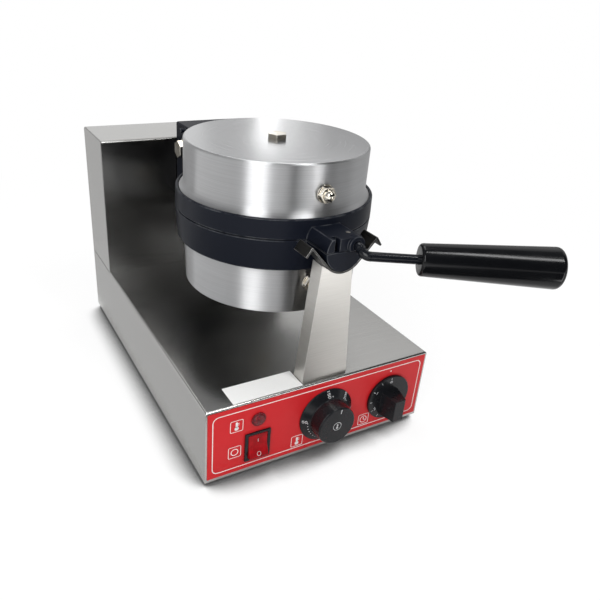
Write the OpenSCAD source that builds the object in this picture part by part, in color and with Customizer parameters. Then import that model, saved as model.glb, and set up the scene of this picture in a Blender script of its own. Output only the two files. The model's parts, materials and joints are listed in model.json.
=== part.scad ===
// Rotary waffle iron on a box base: a round, hinged head that turns over in a
// front saddle and a rear bearing. Millimetres, +Z up, front at the low-Y side.
// The origin is the middle of the front left foot's underside.

/* [Base] */
// Width of the base box and the tower
base_w = 250; // [230:1:300]
// Height of the base box without its feet
base_h = 81; // [78:1:110]
// Thickness of the stainless sheet
sheet = 1.2; // [0.8:0.1:1.6]
// Outer radius of the sheet's bends
bend_r = 2.5; // [2:0.1:5]
// Width of the inward returns that the covers screw to
return_w = 14; // [12:1:20]
// Height of the shell's lower edge above the table
foot_h = 6; // [5:0.5:14]
// Radius of a rubber foot
foot_r = 11; // [8:0.5:16]
// Distance of a foot's middle from the sides of the base
foot_inset = 28; // [24:1:45]

/* [Tower] */
// Depth of the tower at the back
tower_d = 78; // [72:1:88]
// Height of the tower's top above the turning axis
tower_over = 26.5; // [25:0.5:60]

/* [Head] */
// Gap between the base box and the head's corners while it turns over
turn_gap = 17.1; // [8:0.1:40]
// Distance of the rings from the base's front
ring_front = 27; // [26:0.5:40]
// Radius of the cast rings at the seam
ring_r = 97.5; // [96:0.5:105]
// How much narrower the upper ring is at its upper edge
ring_up_draft = 0.5; // [0:0.1:1.5]
// How much narrower the lower ring is at its lower edge
ring_low_draft = 2; // [0:0.1:2]
// Height of the upper ring
ring_up_h = 19; // [17:0.5:24]
// Height of the lower ring
ring_low_h = 30; // [24:0.5:34]
// Thickness of the ring's upstanding lip
lip_t = 2.8; // [2:0.1:3.2]
// Gap between the two rings when the head is shut
seam_gap = 0.5; // [0.3:0.1:0.8]
// Radius of the hole that a plate sits in
seat_r = 84; // [80:0.5:86]
// Height of the ring's ledge above the seam
ledge_h = 9; // [8:0.5:11]
// Radius of the drum covers
drum_r = 89.5; // [88:0.5:90]
// How far a drum cover flares out towards its ring
drum_flare = 3; // [1:0.25:3]
// Radius of the drum cover's outer edge
drum_edge_r = 3.5; // [2:0.5:6]
// Height of the upper drum's top above the seam
drum_up_h = 65.5; // [60:0.5:75]
// Depth of the lower drum's bottom below the seam
drum_low_h = 77.5; // [70:0.5:80]
// How much the lower drum narrows to its bottom
drum_draft = 2; // [0:0.25:3]
// Thickness of the drum covers
drum_t = 1; // [0.8:0.1:1.5]

/* [Plates] */
// Gap between the crests of the two waffle plates
waffle_gap = 6; // [5:0.5:8]
// Height of the waffle pads
pad_h = 2.5; // [1.5:0.25:3.5]
// Distance from one waffle pad to the next
pad_pitch = 13; // [11:0.5:16]
// Width of the groove between two pads
groove_w = 4; // [3:0.5:5]
// Width of the rim that closes the waffle cavity
rim_w = 6; // [4:0.5:8]
// Thickness of a plate's flange on the ledge
plate_t = 3; // [2.5:0.25:5]
// Radius of the tubular heating element's bend
heater_r = 58; // [45:1:62]
// Radius of the element's tube
heater_tube_r = 4; // [3:0.25:4.5]
// Thickness of the insulation
wool_t = 12; // [8:1:14]
// Radius of the stud in the middle of each half
stud_r = 5; // [4:0.25:6]
// Size across the flats of the centre nut
centre_af = 17; // [15:1:19]
// Height of the centre nut
centre_nut_h = 4.5; // [4:0.5:8]
// Height of the side nuts on the upper drum above the seam
side_nut_up = 38.5; // [37:0.5:44]
// Depth of the side nuts on the lower drum below the seam
side_nut_low = 46; // [42:0.5:52]
// Direction of the lower drum's front nut, to the left
side_nut_turn = 4; // [0:1:15]
// Size across the flats of the side nuts
side_af = 14; // [12:1:16]

/* [Lug and saddle] */
// Radius of the round lug at the front of the head
lug_r = 18.7; // [17:0.1:20]
// How far the lug stands out in front of the base
lug_out = 4.3; // [3:0.1:8]
// Height of the flat on the lug's upper half
lug_flat = 12; // [11:0.25:14]
// Radial play of the lug in its saddle
saddle_play = 0.5; // [0.3:0.1:1]
// Thickness of the saddle strip
saddle_t = 2; // [1.5:0.1:3]
// Width of the saddle strip
saddle_w = 20; // [14:0.5:22]
// How far the saddle stands out in front of the base
saddle_out = 3.5; // [2:0.1:4]
// Length of each sloping arm of the saddle
saddle_arm = 27; // [20:0.5:32]
// Slope of the saddle's arms
saddle_slope = 48.5; // [45:0.5:60]
// Length of the folded lip at each arm's end
saddle_lip = 9; // [5:0.5:12]
// Distance of the post from the base's front
post_y = 4.5; // [3:0.5:8]
// Depth of the post's side flanges
post_d = 16; // [14:0.5:18]
// Width of the post at its foot
post_w = 50; // [46:1:60]
// Narrowing of the post per millimetre of height, on each side
post_taper = 0.0757; // [0.06:0.001:0.08]
// Thickness of the post's sheet
post_t = 1.5; // [1:0.1:2]

/* [Hinge and shaft] */
// Width of the hinge box
box_w = 72; // [66:1:74]
// Distance from the rings to the hinge box
arm_gap = 28; // [26:0.5:40]
// Distance from the box's front wall to the tower
box_d = 52; // [48:0.5:70]
// Height of the box above the axis
box_up = 45.5; // [42:0.5:48]
// Depth of the box below the axis
box_down = 44; // [42:0.5:55]
// Wall of the hinge box
box_t = 4; // [3:0.25:5]
// Distance of the hinge bolts behind the box's front wall
pin_in = 10; // [10:0.5:14]
// Height of the hinge bolts above the axis
pin_rise = 23.5; // [22:0.5:25]
// Radius of a hinge bolt's shoulder
pin_r = 5; // [4:0.25:6]
// Thickness of the hinge ears
ear_t = 6; // [5:0.25:8]
// Radius of the ear's round end
ear_r = 13; // [11:0.5:14]
// Radius of the hollow shaft
shaft_r = 15; // [13:0.25:16]
// Radius of the shaft's wiring bore
shaft_bore_r = 10; // [8:0.25:11]
// Length of the bearing behind the tower's front wall
bearing_l = 38; // [30:1:42]
// Width of the bearing housing's flange
housing_w = 72; // [70:1:90]
// Height of the bearing housing's flange
housing_h = 44; // [42:1:48]
// Wall of the bearing bush
bush_t = 3; // [2:0.25:3.5]
// Radial clearance of shafts and pins in their bores
fit = 0.05; // [0.02:0.01:0.1]

/* [Handle] */
// Distance of the handle rod to the right of the axis
rod_x = 9.5; // [8:0.25:11]
// Height of the rod's root above the seam
rod_rise = 5; // [4.8:0.1:6]
// Radius of the handle rod
rod_r = 4.2; // [3.5:0.1:4.4]
// Radius of the boss round the rod on the lug's face
boss_r = 8; // [7:0.25:8]
// How far the boss stands out of the lug's face
boss_out = 3; // [1:0.25:4]
// Angle of the grip forward from the sideways direction
grip_turn = 29.7; // [15:0.1:45]
// Bend radius of the handle rod
rod_bend_r = 8; // [6:0.25:9]
// Steepness of the rod's step down from the lug
rod_dip = 30; // [28:1:40]
// Distance from the rod's bend to the grip
grip_gap = 40.5; // [35:0.5:60]
// Length of the grip
grip_l = 118.5; // [100:0.5:135]
// Radius of the grip at its inner end
grip_r1 = 14; // [11:0.25:16]
// Radius of the grip at its outer end
grip_r2 = 18; // [14:0.25:20]

/* [Panel] */
// Height of the control film
film_h = 75; // [70:0.5:76]
// Gap between the control film and the base's lower edge
film_low = 3.5; // [2:0.25:4]
// Thickness of the control film
film_t = 0.5; // [0.3:0.1:0.6]
// Sideways place of the thermostat dial
thermo_x = 3; // [0:0.5:6]
// Height of the thermostat dial above the base's lower edge
thermo_z = 40; // [38:0.5:42]
// Radius of the thermostat dial's skirt
thermo_r = 30; // [26:0.5:32]
// Radius of the thermostat dial's grip
thermo_grip_r = 20.5; // [16:0.5:21]
// How far the thermostat dial stands out
thermo_out = 21.5; // [16:0.5:26]
// Sideways place of the timer dial
timer_x = 79.5; // [76:0.5:84]
// Height of the timer dial above the base's lower edge
timer_z = 38.5; // [36:0.5:42]
// Radius of the timer dial's disc
timer_r = 25.7; // [22:0.1:28]
// How far the timer dial stands out
timer_out = 22; // [16:0.5:26]
// Width of the timer dial's bar grip
timer_bar_w = 12.5; // [9:0.5:14]
// How far the timer's bar grip reaches above the disc's middle
timer_bar_up = 9; // [8:0.5:12]
// How far the timer's bar grip reaches below the disc's middle
timer_bar_down = 22.5; // [18:0.5:23]
// Sideways place of the switch and the lamp, left of the middle
switch_x = 72.5; // [68:0.5:78]
// Height of the switch above the base's lower edge
switch_z = 29; // [27:0.5:32]
// Width of the switch bezel
bezel_w = 26.5; // [25:0.5:28]
// Height of the switch bezel
bezel_h = 32; // [31:0.5:34]
// Width of the thermostat's body behind the panel
thermo_body_w = 36; // [30:1:46]
// Depth of the thermostat's body
thermo_body_d = 36; // [20:1:60]
// Width of the timer's body behind the panel
timer_body_w = 44; // [34:1:54]
// Depth of the timer's body
timer_body_d = 40; // [20:1:60]
// Width of the rocker
rocker_w = 19.6; // [17:0.2:20]
// Swing radius of the rocker's ends
rocker_r = 13.2; // [12:0.1:13.6]
// Tilt of the rocker to each side
rocker_tilt = 11; // [8:0.5:12]
// Height of the lamp above the base's lower edge
lamp_z = 59; // [57:0.5:61]
// Radius of the lamp's rim
lamp_r = 7.3; // [6:0.1:8]
// Width of the blank label on the base's top
label_w = 72; // [50:1:80]
// Depth of the blank label
label_d = 25; // [15:1:26]
// Width of the terminal block
block_w = 46; // [30:1:60]
// Depth of the terminal block
block_d = 24; // [18:1:30]
// Height of the terminal block
block_h = 20; // [14:1:26]
// Sideways place of the cord gland, right of the middle
gland_x = 80; // [50:1:100]
// Radius of the cord's hole through the gland
gland_bore_r = 4.5; // [3.5:0.25:5]

/* [Hidden] */
$fn = 96;

steel = "silver";
cast = [0.2, 0.21, 0.24];
black = [0.08, 0.08, 0.09];
nickel = [0.8, 0.78, 0.72];
brass = [0.75, 0.6, 0.3];
red = [0.85, 0.15, 0.18];
white = "white";
wool = [0.85, 0.82, 0.74];

skin = 0.01;                     // overshoot of a cut
snug = 0.04;                     // play of a screw or a spindle in its seat
lap = 0.03;                      // how much thinner a piece is that runs on from a round one
head_y = ring_front + ring_r;    // middle of the head
box_y = head_y + ring_r + arm_gap;
tower_y = box_y + box_d;         // front of the tower
base_d = tower_y + tower_d;
axis_rise = norm([drum_r, max(drum_up_h, drum_low_h)]) + turn_gap;
tower_h = axis_rise + tower_over;
deck_z = foot_h + base_h;        // top of the base box
axis_z = deck_z + axis_rise;     // turning axis
seam = seam_gap / 2;             // each half's distance from the axis
up_lip_in = ring_r - ring_up_draft - lip_t;    // inside of the upper ring's lip
low_lip_in = ring_r - ring_low_draft - lip_t;  // inside of the lower ring's lip
flare_r = drum_r + drum_flare;   // outer radius of a drum's rim
plate_back = ledge_h + plate_t;  // back of a plate above the seam
pad_face = waffle_gap / 2;       // crest of a plate above the axis
clamp_z = plate_back + 2 * heater_tube_r;
clamp_t = 2;
stud_boss_r = stud_r + 4;
pin_y = box_y + pin_in;
box_back = tower_y - 1.5;        // 1.5 mm is left for the thrust washer
ear_x = box_w / 2 + 0.4;         // inner face of an ear
saddle_in = lug_r + saddle_play;
saddle_ro = saddle_in + saddle_t;
saddle_phi = saddle_slope - 90;  // where an arm leaves the round part
screw_r = 2;                     // M4 screws hold the case together
screw_head_r = 3.8;
screw_head_h = 2.2;
boss_af = 22;                    // flats of the gland's hexagons

// ---- placing helpers: shapes are drawn with the middle of the base's front at x = y = 0

module placed() translate([base_w / 2 - foot_inset, -foot_inset, 0]) children();
module at_axis() placed() translate([0, 0, axis_z]) children();
module at_head() placed() translate([0, head_y, axis_z]) children();
module on_panel(x, z) placed() translate([x, 0, foot_h + z]) rotate([90, 0, 0]) children();
module lower_half() mirror([0, 0, 1]) children();

// round bar along Y or X between two stations
module bar_y(y0, y1, r, x = 0, z = 0)
  translate([x, y1, z]) rotate([90, 0, 0]) cylinder(h = y1 - y0, r = r);
module bar_x(x0, x1, r, y = 0, z = 0)
  translate([x0, y, z]) rotate([0, 90, 0]) cylinder(h = x1 - x0, r = r);
module hexagon(af, h) cylinder(h = h, r = af / 2 / cos(30), $fn = 6);
module tube(h, r_out, r_in) difference() {
  cylinder(h = h, r = r_out);
  translate([0, 0, -skin]) cylinder(h = h + 2 * skin, r = r_in);
}

// closed box with its upper edges rounded; x is centred, y and z start at 0
module bent_profile(w, h, r) {
  translate([-w / 2, 0]) square([w, h - r]);
  translate([-w / 2 + r, 0]) square([w - 2 * r, h]);
  for (s = [-1, 1]) translate([s * (w / 2 - r), h - r]) circle(r);
}
module bent_box(w, d, h, r) intersection() {
  translate([0, d, 0]) rotate([90, 0, 0]) linear_extrude(d) bent_profile(w, h, r);
  translate([-w / 2, d / 2, 0]) rotate([90, 0, 90]) linear_extrude(w) bent_profile(d, h, r);
}
// sheet box, open below but for its inward returns
module sheet_box(w, d, h) {
  difference() {
    bent_box(w, d, h, bend_r);
    translate([0, sheet, -skin]) bent_box(w - 2 * sheet, d - 2 * sheet, h - sheet + skin, bend_r - sheet);
  }
  difference() {
    translate([-w / 2 + sheet / 2, sheet / 2, 0]) cube([w - sheet, d - sheet, sheet]);
    translate([-w / 2 + return_w, return_w, -skin])
      cube([w - 2 * return_w, d - 2 * return_w, sheet + 2 * skin]);
  }
}
// M4 pan-head screw, its head's underside at z = 0 and its shank downwards
module pan_screw(l) {
  translate([0, 0, -l]) cylinder(h = l + skin, r = screw_r);
  cylinder(h = screw_head_h, r1 = screw_head_r, r2 = screw_head_r - 0.7);
}

// ---- where things go, shared by the holes and what fills them

foot_spots = [for (x = [-1, 1], y = [foot_inset, base_d - foot_inset]) [x * (base_w / 2 - foot_inset), y]];
edge_x = base_w / 2 - return_w / 2;
floor_spots = [for (x = [-1, 1], y = [base_d / 8, base_d / 2, base_d * 7 / 8]) [x * edge_x, y]];
tower_spots = [for (x = [-1, 1], y = [tower_y + return_w / 2 + 8, base_d - return_w / 2]) [x * edge_x, y]];
cover_spots = [for (x = [-1, 1], z = [0.08, 0.5, 0.92]) [x * edge_x, deck_z + tower_h * z]];
post_spots = [for (x = [-1, 1]) [x * post_w / 4, post_y + post_d * 0.6]];
wire_hole = [0, base_d - tower_d * 0.4];
wire_hole_r = 9;
gland_z = foot_h + base_h / 2;
stem_r = 4;               // threaded neck of the thermostat and the timer
lamp_neck_r = 5;
dial_gap = 0.3;                  // between a dial and the film
bolt_r = 2.5;
housing_spots = [for (x = [-1, 1], z = [-1, 1]) [x * (housing_w / 2 - 8), z * (housing_h / 2 - 8)]];

// ---- base

module base_shell() color(steel) placed() difference() {
  translate([0, 0, foot_h]) sheet_box(base_w, base_d, base_h);
  for (p = concat(post_spots, tower_spots))
    translate([p[0], p[1], deck_z - 2 * sheet]) cylinder(h = 3 * sheet, r = screw_r + 0.1);
  translate([wire_hole[0], wire_hole[1], deck_z - 2 * sheet]) cylinder(h = 3 * sheet, r = wire_hole_r);
  for (p = floor_spots)
    translate([p[0], p[1], foot_h - sheet]) cylinder(h = 3 * sheet, r = screw_r + 0.1);
  bar_y(-sheet, 2 * sheet, stem_r + 0.1, thermo_x, foot_h + thermo_z);
  bar_y(-sheet, 2 * sheet, stem_r + 0.1, timer_x, foot_h + timer_z);
  bar_y(-sheet, 2 * sheet, lamp_neck_r + 0.1, -switch_x, foot_h + lamp_z);
  switch_cut();
  bar_y(base_d - 2 * sheet, base_d + sheet, 8.05, gland_x, gland_z);
}
module switch_cut()
  translate([-switch_x - rocker_w / 2 - 1.4, -sheet, foot_h + switch_z - rocker_r - 1.6])
    cube([rocker_w + 2.8, 3 * sheet, 2 * rocker_r + 3.2]);

module bottom_plate() color(steel) placed() difference() {
  translate([-base_w / 2 + 2, 2, foot_h - sheet]) cube([base_w - 4, base_d - 4, sheet]);
  for (p = concat(floor_spots, foot_spots))
    translate([p[0], p[1], foot_h - 2 * sheet]) cylinder(h = 3 * sheet, r = screw_r + 0.1);
  for (x = [-1, 1], i = [-3:3])
    translate([x * base_w / 5 - 25, base_d / 2 + i * 14 - 2, foot_h - 2 * sheet]) cube([50, 4, 3 * sheet]);
}

module rubber_feet() color(black) placed() for (p = foot_spots) translate([p[0], p[1], 0]) difference() {
  cylinder(h = foot_h - sheet, r = foot_r);
  translate([0, 0, -skin]) cylinder(h = (foot_h - sheet) / 2 + 2 * skin, r = screw_head_r + 0.4);
  cylinder(h = foot_h, r = screw_r + 0.1);
}

// the same M4 screw in the feet, the floor plate, the tower's foot and the back cover
module case_screws() color(nickel) placed() {
  for (p = foot_spots) translate([p[0], p[1], (foot_h - sheet) / 2]) {
    rotate([180, 0, 0]) pan_screw(foot_h + 1);
    translate([0, 0, (foot_h + sheet) / 2]) hexagon(7, 3);
  }
  for (p = floor_spots) translate([p[0], p[1], foot_h - sheet]) rotate([180, 0, 0]) pan_screw(8);
  for (p = tower_spots) translate([p[0], p[1], deck_z + sheet]) pan_screw(8);
  for (p = cover_spots) translate([p[0], base_d + sheet, p[1]]) rotate([-90, 0, 0]) pan_screw(8);
}

module tower_shell() color(steel) placed() difference() {
  translate([0, tower_y, deck_z]) sheet_box(base_w, tower_d, tower_h);
  translate([-base_w / 2 + return_w, base_d - 2 * sheet, deck_z + return_w])
    cube([base_w - 2 * return_w, 3 * sheet, tower_h - 2 * return_w]);
  bar_y(tower_y - sheet, tower_y + 2 * sheet, shaft_r + 0.6, 0, axis_z);
  for (p = housing_spots) bar_y(tower_y - sheet, tower_y + 2 * sheet, bolt_r + 0.1, p[0], axis_z + p[1]);
  for (p = tower_spots) translate([p[0], p[1], deck_z - sheet]) cylinder(h = 3 * sheet, r = screw_r + 0.1);
  for (p = cover_spots) bar_y(base_d - 2 * sheet, base_d + sheet, screw_r + 0.1, p[0], p[1]);
}

module back_cover() color(steel) placed() difference() {
  translate([-base_w / 2 + 2, base_d, deck_z + 2]) cube([base_w - 4, sheet, tower_h - bend_r - 4]);
  for (p = cover_spots) bar_y(base_d - sheet, base_d + 2 * sheet, screw_r + 0.1, p[0], p[1]);
  for (x = [-1, 1], i = [0:6])
    translate([x * base_w / 5 - 28, base_d - skin, deck_z + tower_h / 4 + i * 12]) cube([56, sheet + 2 * skin, 4]);
}

module cord_gland() color(black) placed() translate([gland_x, base_d, gland_z]) rotate([-90, 0, 0])
  difference() {
    union() {
      translate([0, 0, -14]) cylinder(h = 14, r = 8);
      hexagon(boss_af, 5);
      translate([0, 0, 5]) cylinder(h = 12, r = 10);
      translate([0, 0, 17]) cylinder(h = 4, r1 = 10, r2 = 7.5);
    }
    translate([0, 0, -14 - skin]) cylinder(h = 35 + 2 * skin, r = gland_bore_r);
  }
module gland_nut() color(black) placed() translate([gland_x, base_d - sheet - 5, gland_z]) rotate([-90, 0, 0])
  difference() {
    hexagon(boss_af, 5);
    translate([0, 0, -skin]) cylinder(h = 5 + 2 * skin, r = 8 + fit);
  }

// ---- controls

module control_film() color(red) placed() difference() {
  translate([-base_w / 2 + 2, -film_t, foot_h + film_low]) cube([base_w - 4, film_t, film_h]);
  bar_y(-sheet, sheet, stem_r + 0.1, thermo_x, foot_h + thermo_z);
  bar_y(-sheet, sheet, stem_r + 0.1, timer_x, foot_h + timer_z);
  bar_y(-sheet, sheet, lamp_neck_r + 0.1, -switch_x, foot_h + lamp_z);
  switch_cut();
}
module name_label() color(white) placed()
  translate([-post_w / 2 - 0.5 - label_w, bend_r - 0.5, deck_z]) cube([label_w, label_d, 0.5]);

module stemmed_body(w, d) difference() {
  union() {
    translate([-w / 2, -w / 2, -sheet - d]) cube([w, w, d]);
    translate([0, 0, -sheet - skin]) cylinder(h = sheet + film_t + 4 + skin, r = stem_r);
  }
  translate([0, 0, -sheet - d / 2]) cylinder(h = d / 2 + sheet + film_t + 5, r = 3 + fit);
}
module thermostat_body() color(wool) on_panel(thermo_x, thermo_z) stemmed_body(thermo_body_w, thermo_body_d);
module timer_body() color("gray") on_panel(timer_x, timer_z) stemmed_body(timer_body_w, timer_body_d);
module panel_nuts() color(nickel) {
  on_panel(thermo_x, thermo_z) translate([0, 0, film_t]) neck_nut();
  on_panel(timer_x, timer_z) translate([0, 0, film_t]) neck_nut();
}
module neck_nut() difference() {
  hexagon(11, 2.5);
  translate([0, 0, -skin]) cylinder(h = 3, r = stem_r + fit);
}
module spindle(out, d) translate([0, 0, -sheet - d / 2 + 1]) cylinder(h = out + sheet + d / 2 - 5, r = 3);
module thermostat_spindle() color(nickel) on_panel(thermo_x, thermo_z) spindle(thermo_out, thermo_body_d);
module timer_spindle() color(nickel) on_panel(timer_x, timer_z) spindle(timer_out, timer_body_d);

// dial with a bevelled skirt and a smooth round grip, hollow behind, z out of the panel
module thermostat_knob() color(black) on_panel(thermo_x, thermo_z) {
  back = film_t + dial_gap;
  bevel = 6;
  difference() {
    rotate_extrude() polygon([
      [0, back], [thermo_r, back], [thermo_r, back + 1], [thermo_grip_r + 2, back + bevel],
      [thermo_grip_r + 1, back + bevel + 0.3], [thermo_grip_r, thermo_out - 1],
      [thermo_grip_r - 1, thermo_out], [0, thermo_out]
    ]);
    translate([0, 0, back - skin]) cylinder(h = bevel, r = thermo_grip_r - 2);
    translate([0, 0, back]) cylinder(h = thermo_out - back - 4, r = 3 + snug);
  }
}
// disc with a tapered bar grip
module timer_knob() color(black) on_panel(timer_x, timer_z) {
  back = film_t + dial_gap;
  disc_t = 3;
  root = timer_bar_w + 9;
  taper = 1.5;
  difference() {
    union() {
      rotate_extrude() polygon([
        [0, back], [timer_r, back], [timer_r, back + disc_t - 0.6], [timer_r - 0.6, back + disc_t], [0, back + disc_t]
      ]);
      intersection() {
        translate([0, timer_bar_up, back]) rotate([90, 0, 0]) linear_extrude(timer_bar_up + timer_bar_down)
          polygon([[-root / 2, 0], [root / 2, 0], [timer_bar_w / 2, timer_out - back], [-timer_bar_w / 2, timer_out - back]]);
        translate([-root, 0, back]) rotate([90, 0, 90]) linear_extrude(2 * root)
          polygon([
            [-timer_bar_down, 0], [timer_bar_up, 0],
            [timer_bar_up - taper, timer_out - back], [taper - timer_bar_down, timer_out - back]
          ]);
      }
    }
    translate([0, 0, back - skin]) cylinder(h = 4, r = 7);
    translate([0, 0, back]) cylinder(h = timer_out - back - 4, r = 3 + snug);
  }
}

// rocker switch: a bezel and a body with side bores for the rocker's pins
pivot_in = 0.9;                  // the pins' distance behind the panel's face
module switch_body() color(black) on_panel(-switch_x, switch_z) difference() {
  union() {
    translate([-bezel_w / 2, -bezel_h / 2, film_t]) cube([bezel_w, bezel_h, 2]);
    translate([-rocker_w / 2 - 1.2, -rocker_r - 1.4, -20]) cube([rocker_w + 2.4, 2 * rocker_r + 2.8, 20 + film_t + skin]);
  }
  translate([-rocker_w / 2 - 0.3, -rocker_r - 0.4, -9]) cube([rocker_w + 0.6, 2 * rocker_r + 0.8, 20]);
  translate([0, 0, -pivot_in]) bar_x(-rocker_w / 2 - 0.9, rocker_w / 2 + 0.9, 1.5 + fit);
}
module rocker() color(red) on_panel(-switch_x, switch_z)
  translate([0, 0, -pivot_in]) rotate([-rocker_tilt, 0, 0]) {
    intersection() {
      bar_x(-rocker_w / 2, rocker_w / 2, rocker_r);
      translate([-rocker_w / 2, 0, 0]) rotate([90, 0, 90]) linear_extrude(rocker_w)
        polygon([[-rocker_r, -3], [rocker_r, -3], [rocker_r, 5.9], [0, 3.5], [-rocker_r, 5.9]]);
    }
    bar_x(-rocker_w / 2 - 0.8, rocker_w / 2 + 0.8, 1.5);
  }

module lamp_body() color(black) on_panel(-switch_x, lamp_z) {
  difference() {
    union() {
      translate([0, 0, film_t]) cylinder(h = 1.5, r = lamp_r);
      translate([0, 0, -22]) cylinder(h = 22 + film_t + skin, r = lamp_neck_r);
      translate([0, 0, -sheet - 3]) hexagon(14, 3);
    }
    translate([0, 0, film_t + 0.7]) cylinder(h = 2, r = lamp_r - 1);
  }
}
module lamp_lens() color([0.45, 0.08, 0.1]) on_panel(-switch_x, lamp_z) translate([0, 0, film_t + 0.7])
  rotate_extrude() polygon([[0, 0], [lamp_r - 1, 0], [lamp_r - 1, 1.2], [lamp_r - 2, 2.2], [lamp_r - 4, 2.9], [0, 3.3]]);

block_at = [20, base_d - 80, foot_h];
module terminal_block() color(wool) placed() translate(block_at) difference() {
  cube([block_w, block_d, block_h]);
  for (i = [1:2:5]) translate([block_w * i / 6, block_d / 2, 8]) cylinder(h = block_h, r = 3);
}
// wires from the terminal block up the tower and into the shaft
module wire_loom() color("ivory") placed() {
  r = 4;
  $fn = 48;
  start = block_at + [block_w / 4, block_d - 6, block_h];
  stops = [
    start + [0, 0, 6], [wire_hole[0], wire_hole[1], start[2] + 14],
    [wire_hole[0], wire_hole[1], deck_z + 30], [0, base_d - 12, deck_z + 60],
    [0, base_d - 12, axis_z - 8], [0, base_d - 18, axis_z], [0, tower_y + bearing_l + 2, axis_z]
  ];
  translate(start) cylinder(h = 6, r = r);
  for (i = [0:len(stops) - 1]) {
    translate(stops[i]) sphere(r + 1);
    if (i > 0) rod_between(stops[i - 1], stops[i], r);
  }
}
module rod_between(a, b, r) {
  v = b - a;
  translate(a) rotate([0, acos(v[2] / norm(v)), atan2(v[1], v[0])]) cylinder(h = norm(v), r = r);
}

// ---- front post and saddle

function post_half(h) = post_w / 2 - h * post_taper;
post_top = axis_rise + saddle_ro * sin(saddle_phi) - 1;
module post() color(steel) placed() {
  difference() {
    post_bar(post_y, post_d, 0, post_top);
    post_bar(post_y + post_t, post_d, post_t, post_top + skin);
    bar_y(0, post_y + 2 * post_d, saddle_ro + fit, 0, axis_z);
  }
  difference() {
    post_bar(post_y + post_t / 2, post_d - post_t / 2, post_t / 2, post_t);
    for (p = post_spots) translate([p[0], p[1], deck_z - 1]) cylinder(h = 4, r = screw_r + 0.1);
  }
}
module post_bar(y, d, inset, h) translate([0, y + d, deck_z]) rotate([90, 0, 0]) linear_extrude(d) polygon([
  [-post_half(0) + inset, 0], [post_half(0) - inset, 0],
  [post_half(h) - inset, h], [-post_half(h) + inset, h]
]);
module post_bolts() color(nickel) placed() for (p = post_spots) translate([p[0], p[1], deck_z - sheet]) {
  rotate([180, 0, 0]) cylinder(h = screw_head_h, r1 = screw_head_r, r2 = screw_head_r - 0.7);
  cylinder(h = sheet + post_t + 4, r = screw_r);
  translate([0, 0, sheet + post_t]) hexagon(7, 3);
}

// strip bent round the lug, with flaring arms and folded lips
module saddle() color(steel) at_axis() translate([0, saddle_w - saddle_out, 0]) rotate([90, 0, 0])
  linear_extrude(saddle_w) {
    reach = 2 * saddle_ro;
    intersection() {
      difference() {
        circle(saddle_ro);
        circle(saddle_in);
      }
      polygon([[0, 0], reach * [cos(saddle_phi), sin(saddle_phi)], [0, -2 * reach],
        reach * [-cos(saddle_phi), sin(saddle_phi)]]);
    }
    for (s = [0, 1]) mirror([s, 0]) rotate(saddle_phi) {
      translate([saddle_in + lap, -0.3]) square([saddle_t - 2 * lap, saddle_arm + 0.3]);
      translate([saddle_in + saddle_t / 2, saddle_arm]) {
        circle(saddle_t / 2);
        rotate(-saddle_phi - 55) translate([0, lap - saddle_t / 2]) square([saddle_lip, saddle_t - 2 * lap]);
      }
    }
  }

// ---- rear bearing, shaft and hinge box

peg_r = 3;
collar_y = tower_y + sheet + bearing_l + 1;
module bearing_housing() color(cast) at_axis() difference() {
  union() {
    translate([-housing_w / 2, tower_y + sheet, -housing_h / 2]) cube([housing_w, 6, housing_h]);
    bar_y(tower_y + sheet, tower_y + sheet + bearing_l, shaft_r + bush_t + 3);
    // two lugs that the collar's peg stops against
    for (s = [-1, 1]) translate([s * (housing_w / 2 - 8) - 4, tower_y + sheet, peg_r + 0.3]) cube([8, bearing_l + 10, 5]);
  }
  bar_y(tower_y, tower_y + sheet + bearing_l + 1, shaft_r + bush_t);
  for (p = housing_spots) bar_y(tower_y, tower_y + sheet + 7, bolt_r + 0.1, p[0], p[1]);
}
module bearing_bush() color(brass) at_axis() difference() {
  bar_y(tower_y + sheet, tower_y + sheet + bearing_l, shaft_r + bush_t);
  bar_y(tower_y, tower_y + sheet + bearing_l + 1, shaft_r + fit);
}
module housing_bolts() color(nickel) at_axis() for (p = housing_spots) translate([p[0], tower_y, p[1]]) {
  rotate([-90, 0, 0]) cylinder(h = sheet + 12, r = bolt_r);
  rotate([90, 0, 0]) cylinder(h = 1.1, r1 = 4.5, r2 = 3.8);
  translate([0, sheet + 6, 0]) rotate([-90, 0, 0]) hexagon(8, 4);
}
flange_t = 5;
flange_r = 27;
flange_spots = [for (a = [45:90:315]) 21 * [cos(a), sin(a)]];
module trunnion_shaft() color(nickel) at_axis() difference() {
  union() {
    bar_y(box_back - box_t - flange_t, collar_y + 10, shaft_r);
    bar_y(box_back - box_t - flange_t, box_back - box_t, flange_r);
  }
  bar_y(box_y, base_d, shaft_bore_r);
  for (p = flange_spots) bar_y(box_y, box_back, bolt_r + 0.1, p[0], p[1]);
}
module flange_bolts() color(nickel) at_axis() for (p = flange_spots)
  translate([p[0], box_back - box_t - flange_t, p[1]]) {
    rotate([-90, 0, 0]) cylinder(h = flange_t + box_t, r = bolt_r);
    rotate([90, 0, 0]) hexagon(8, 3.5);
  }
module thrust_washer() color(white) at_axis() difference() {
  bar_y(box_back + 0.1, tower_y - 0.1, shaft_r + 8);
  bar_y(box_back - 1, tower_y + 1, shaft_r + 2 * fit);
}
module stop_collar() color(nickel) at_axis() {
  difference() {
    bar_y(collar_y, collar_y + 8, shaft_r + 6);
    bar_y(collar_y - 1, collar_y + 9, shaft_r + fit);
  }
  // peg that meets the housing's lugs at each end of the half turn
  bar_x(-housing_w / 2 + 5, -shaft_r - 3, peg_r, collar_y + 4);
}

conduit_r = 5;
conduit_z = -ring_low_h - conduit_r - 1.5;
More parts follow.
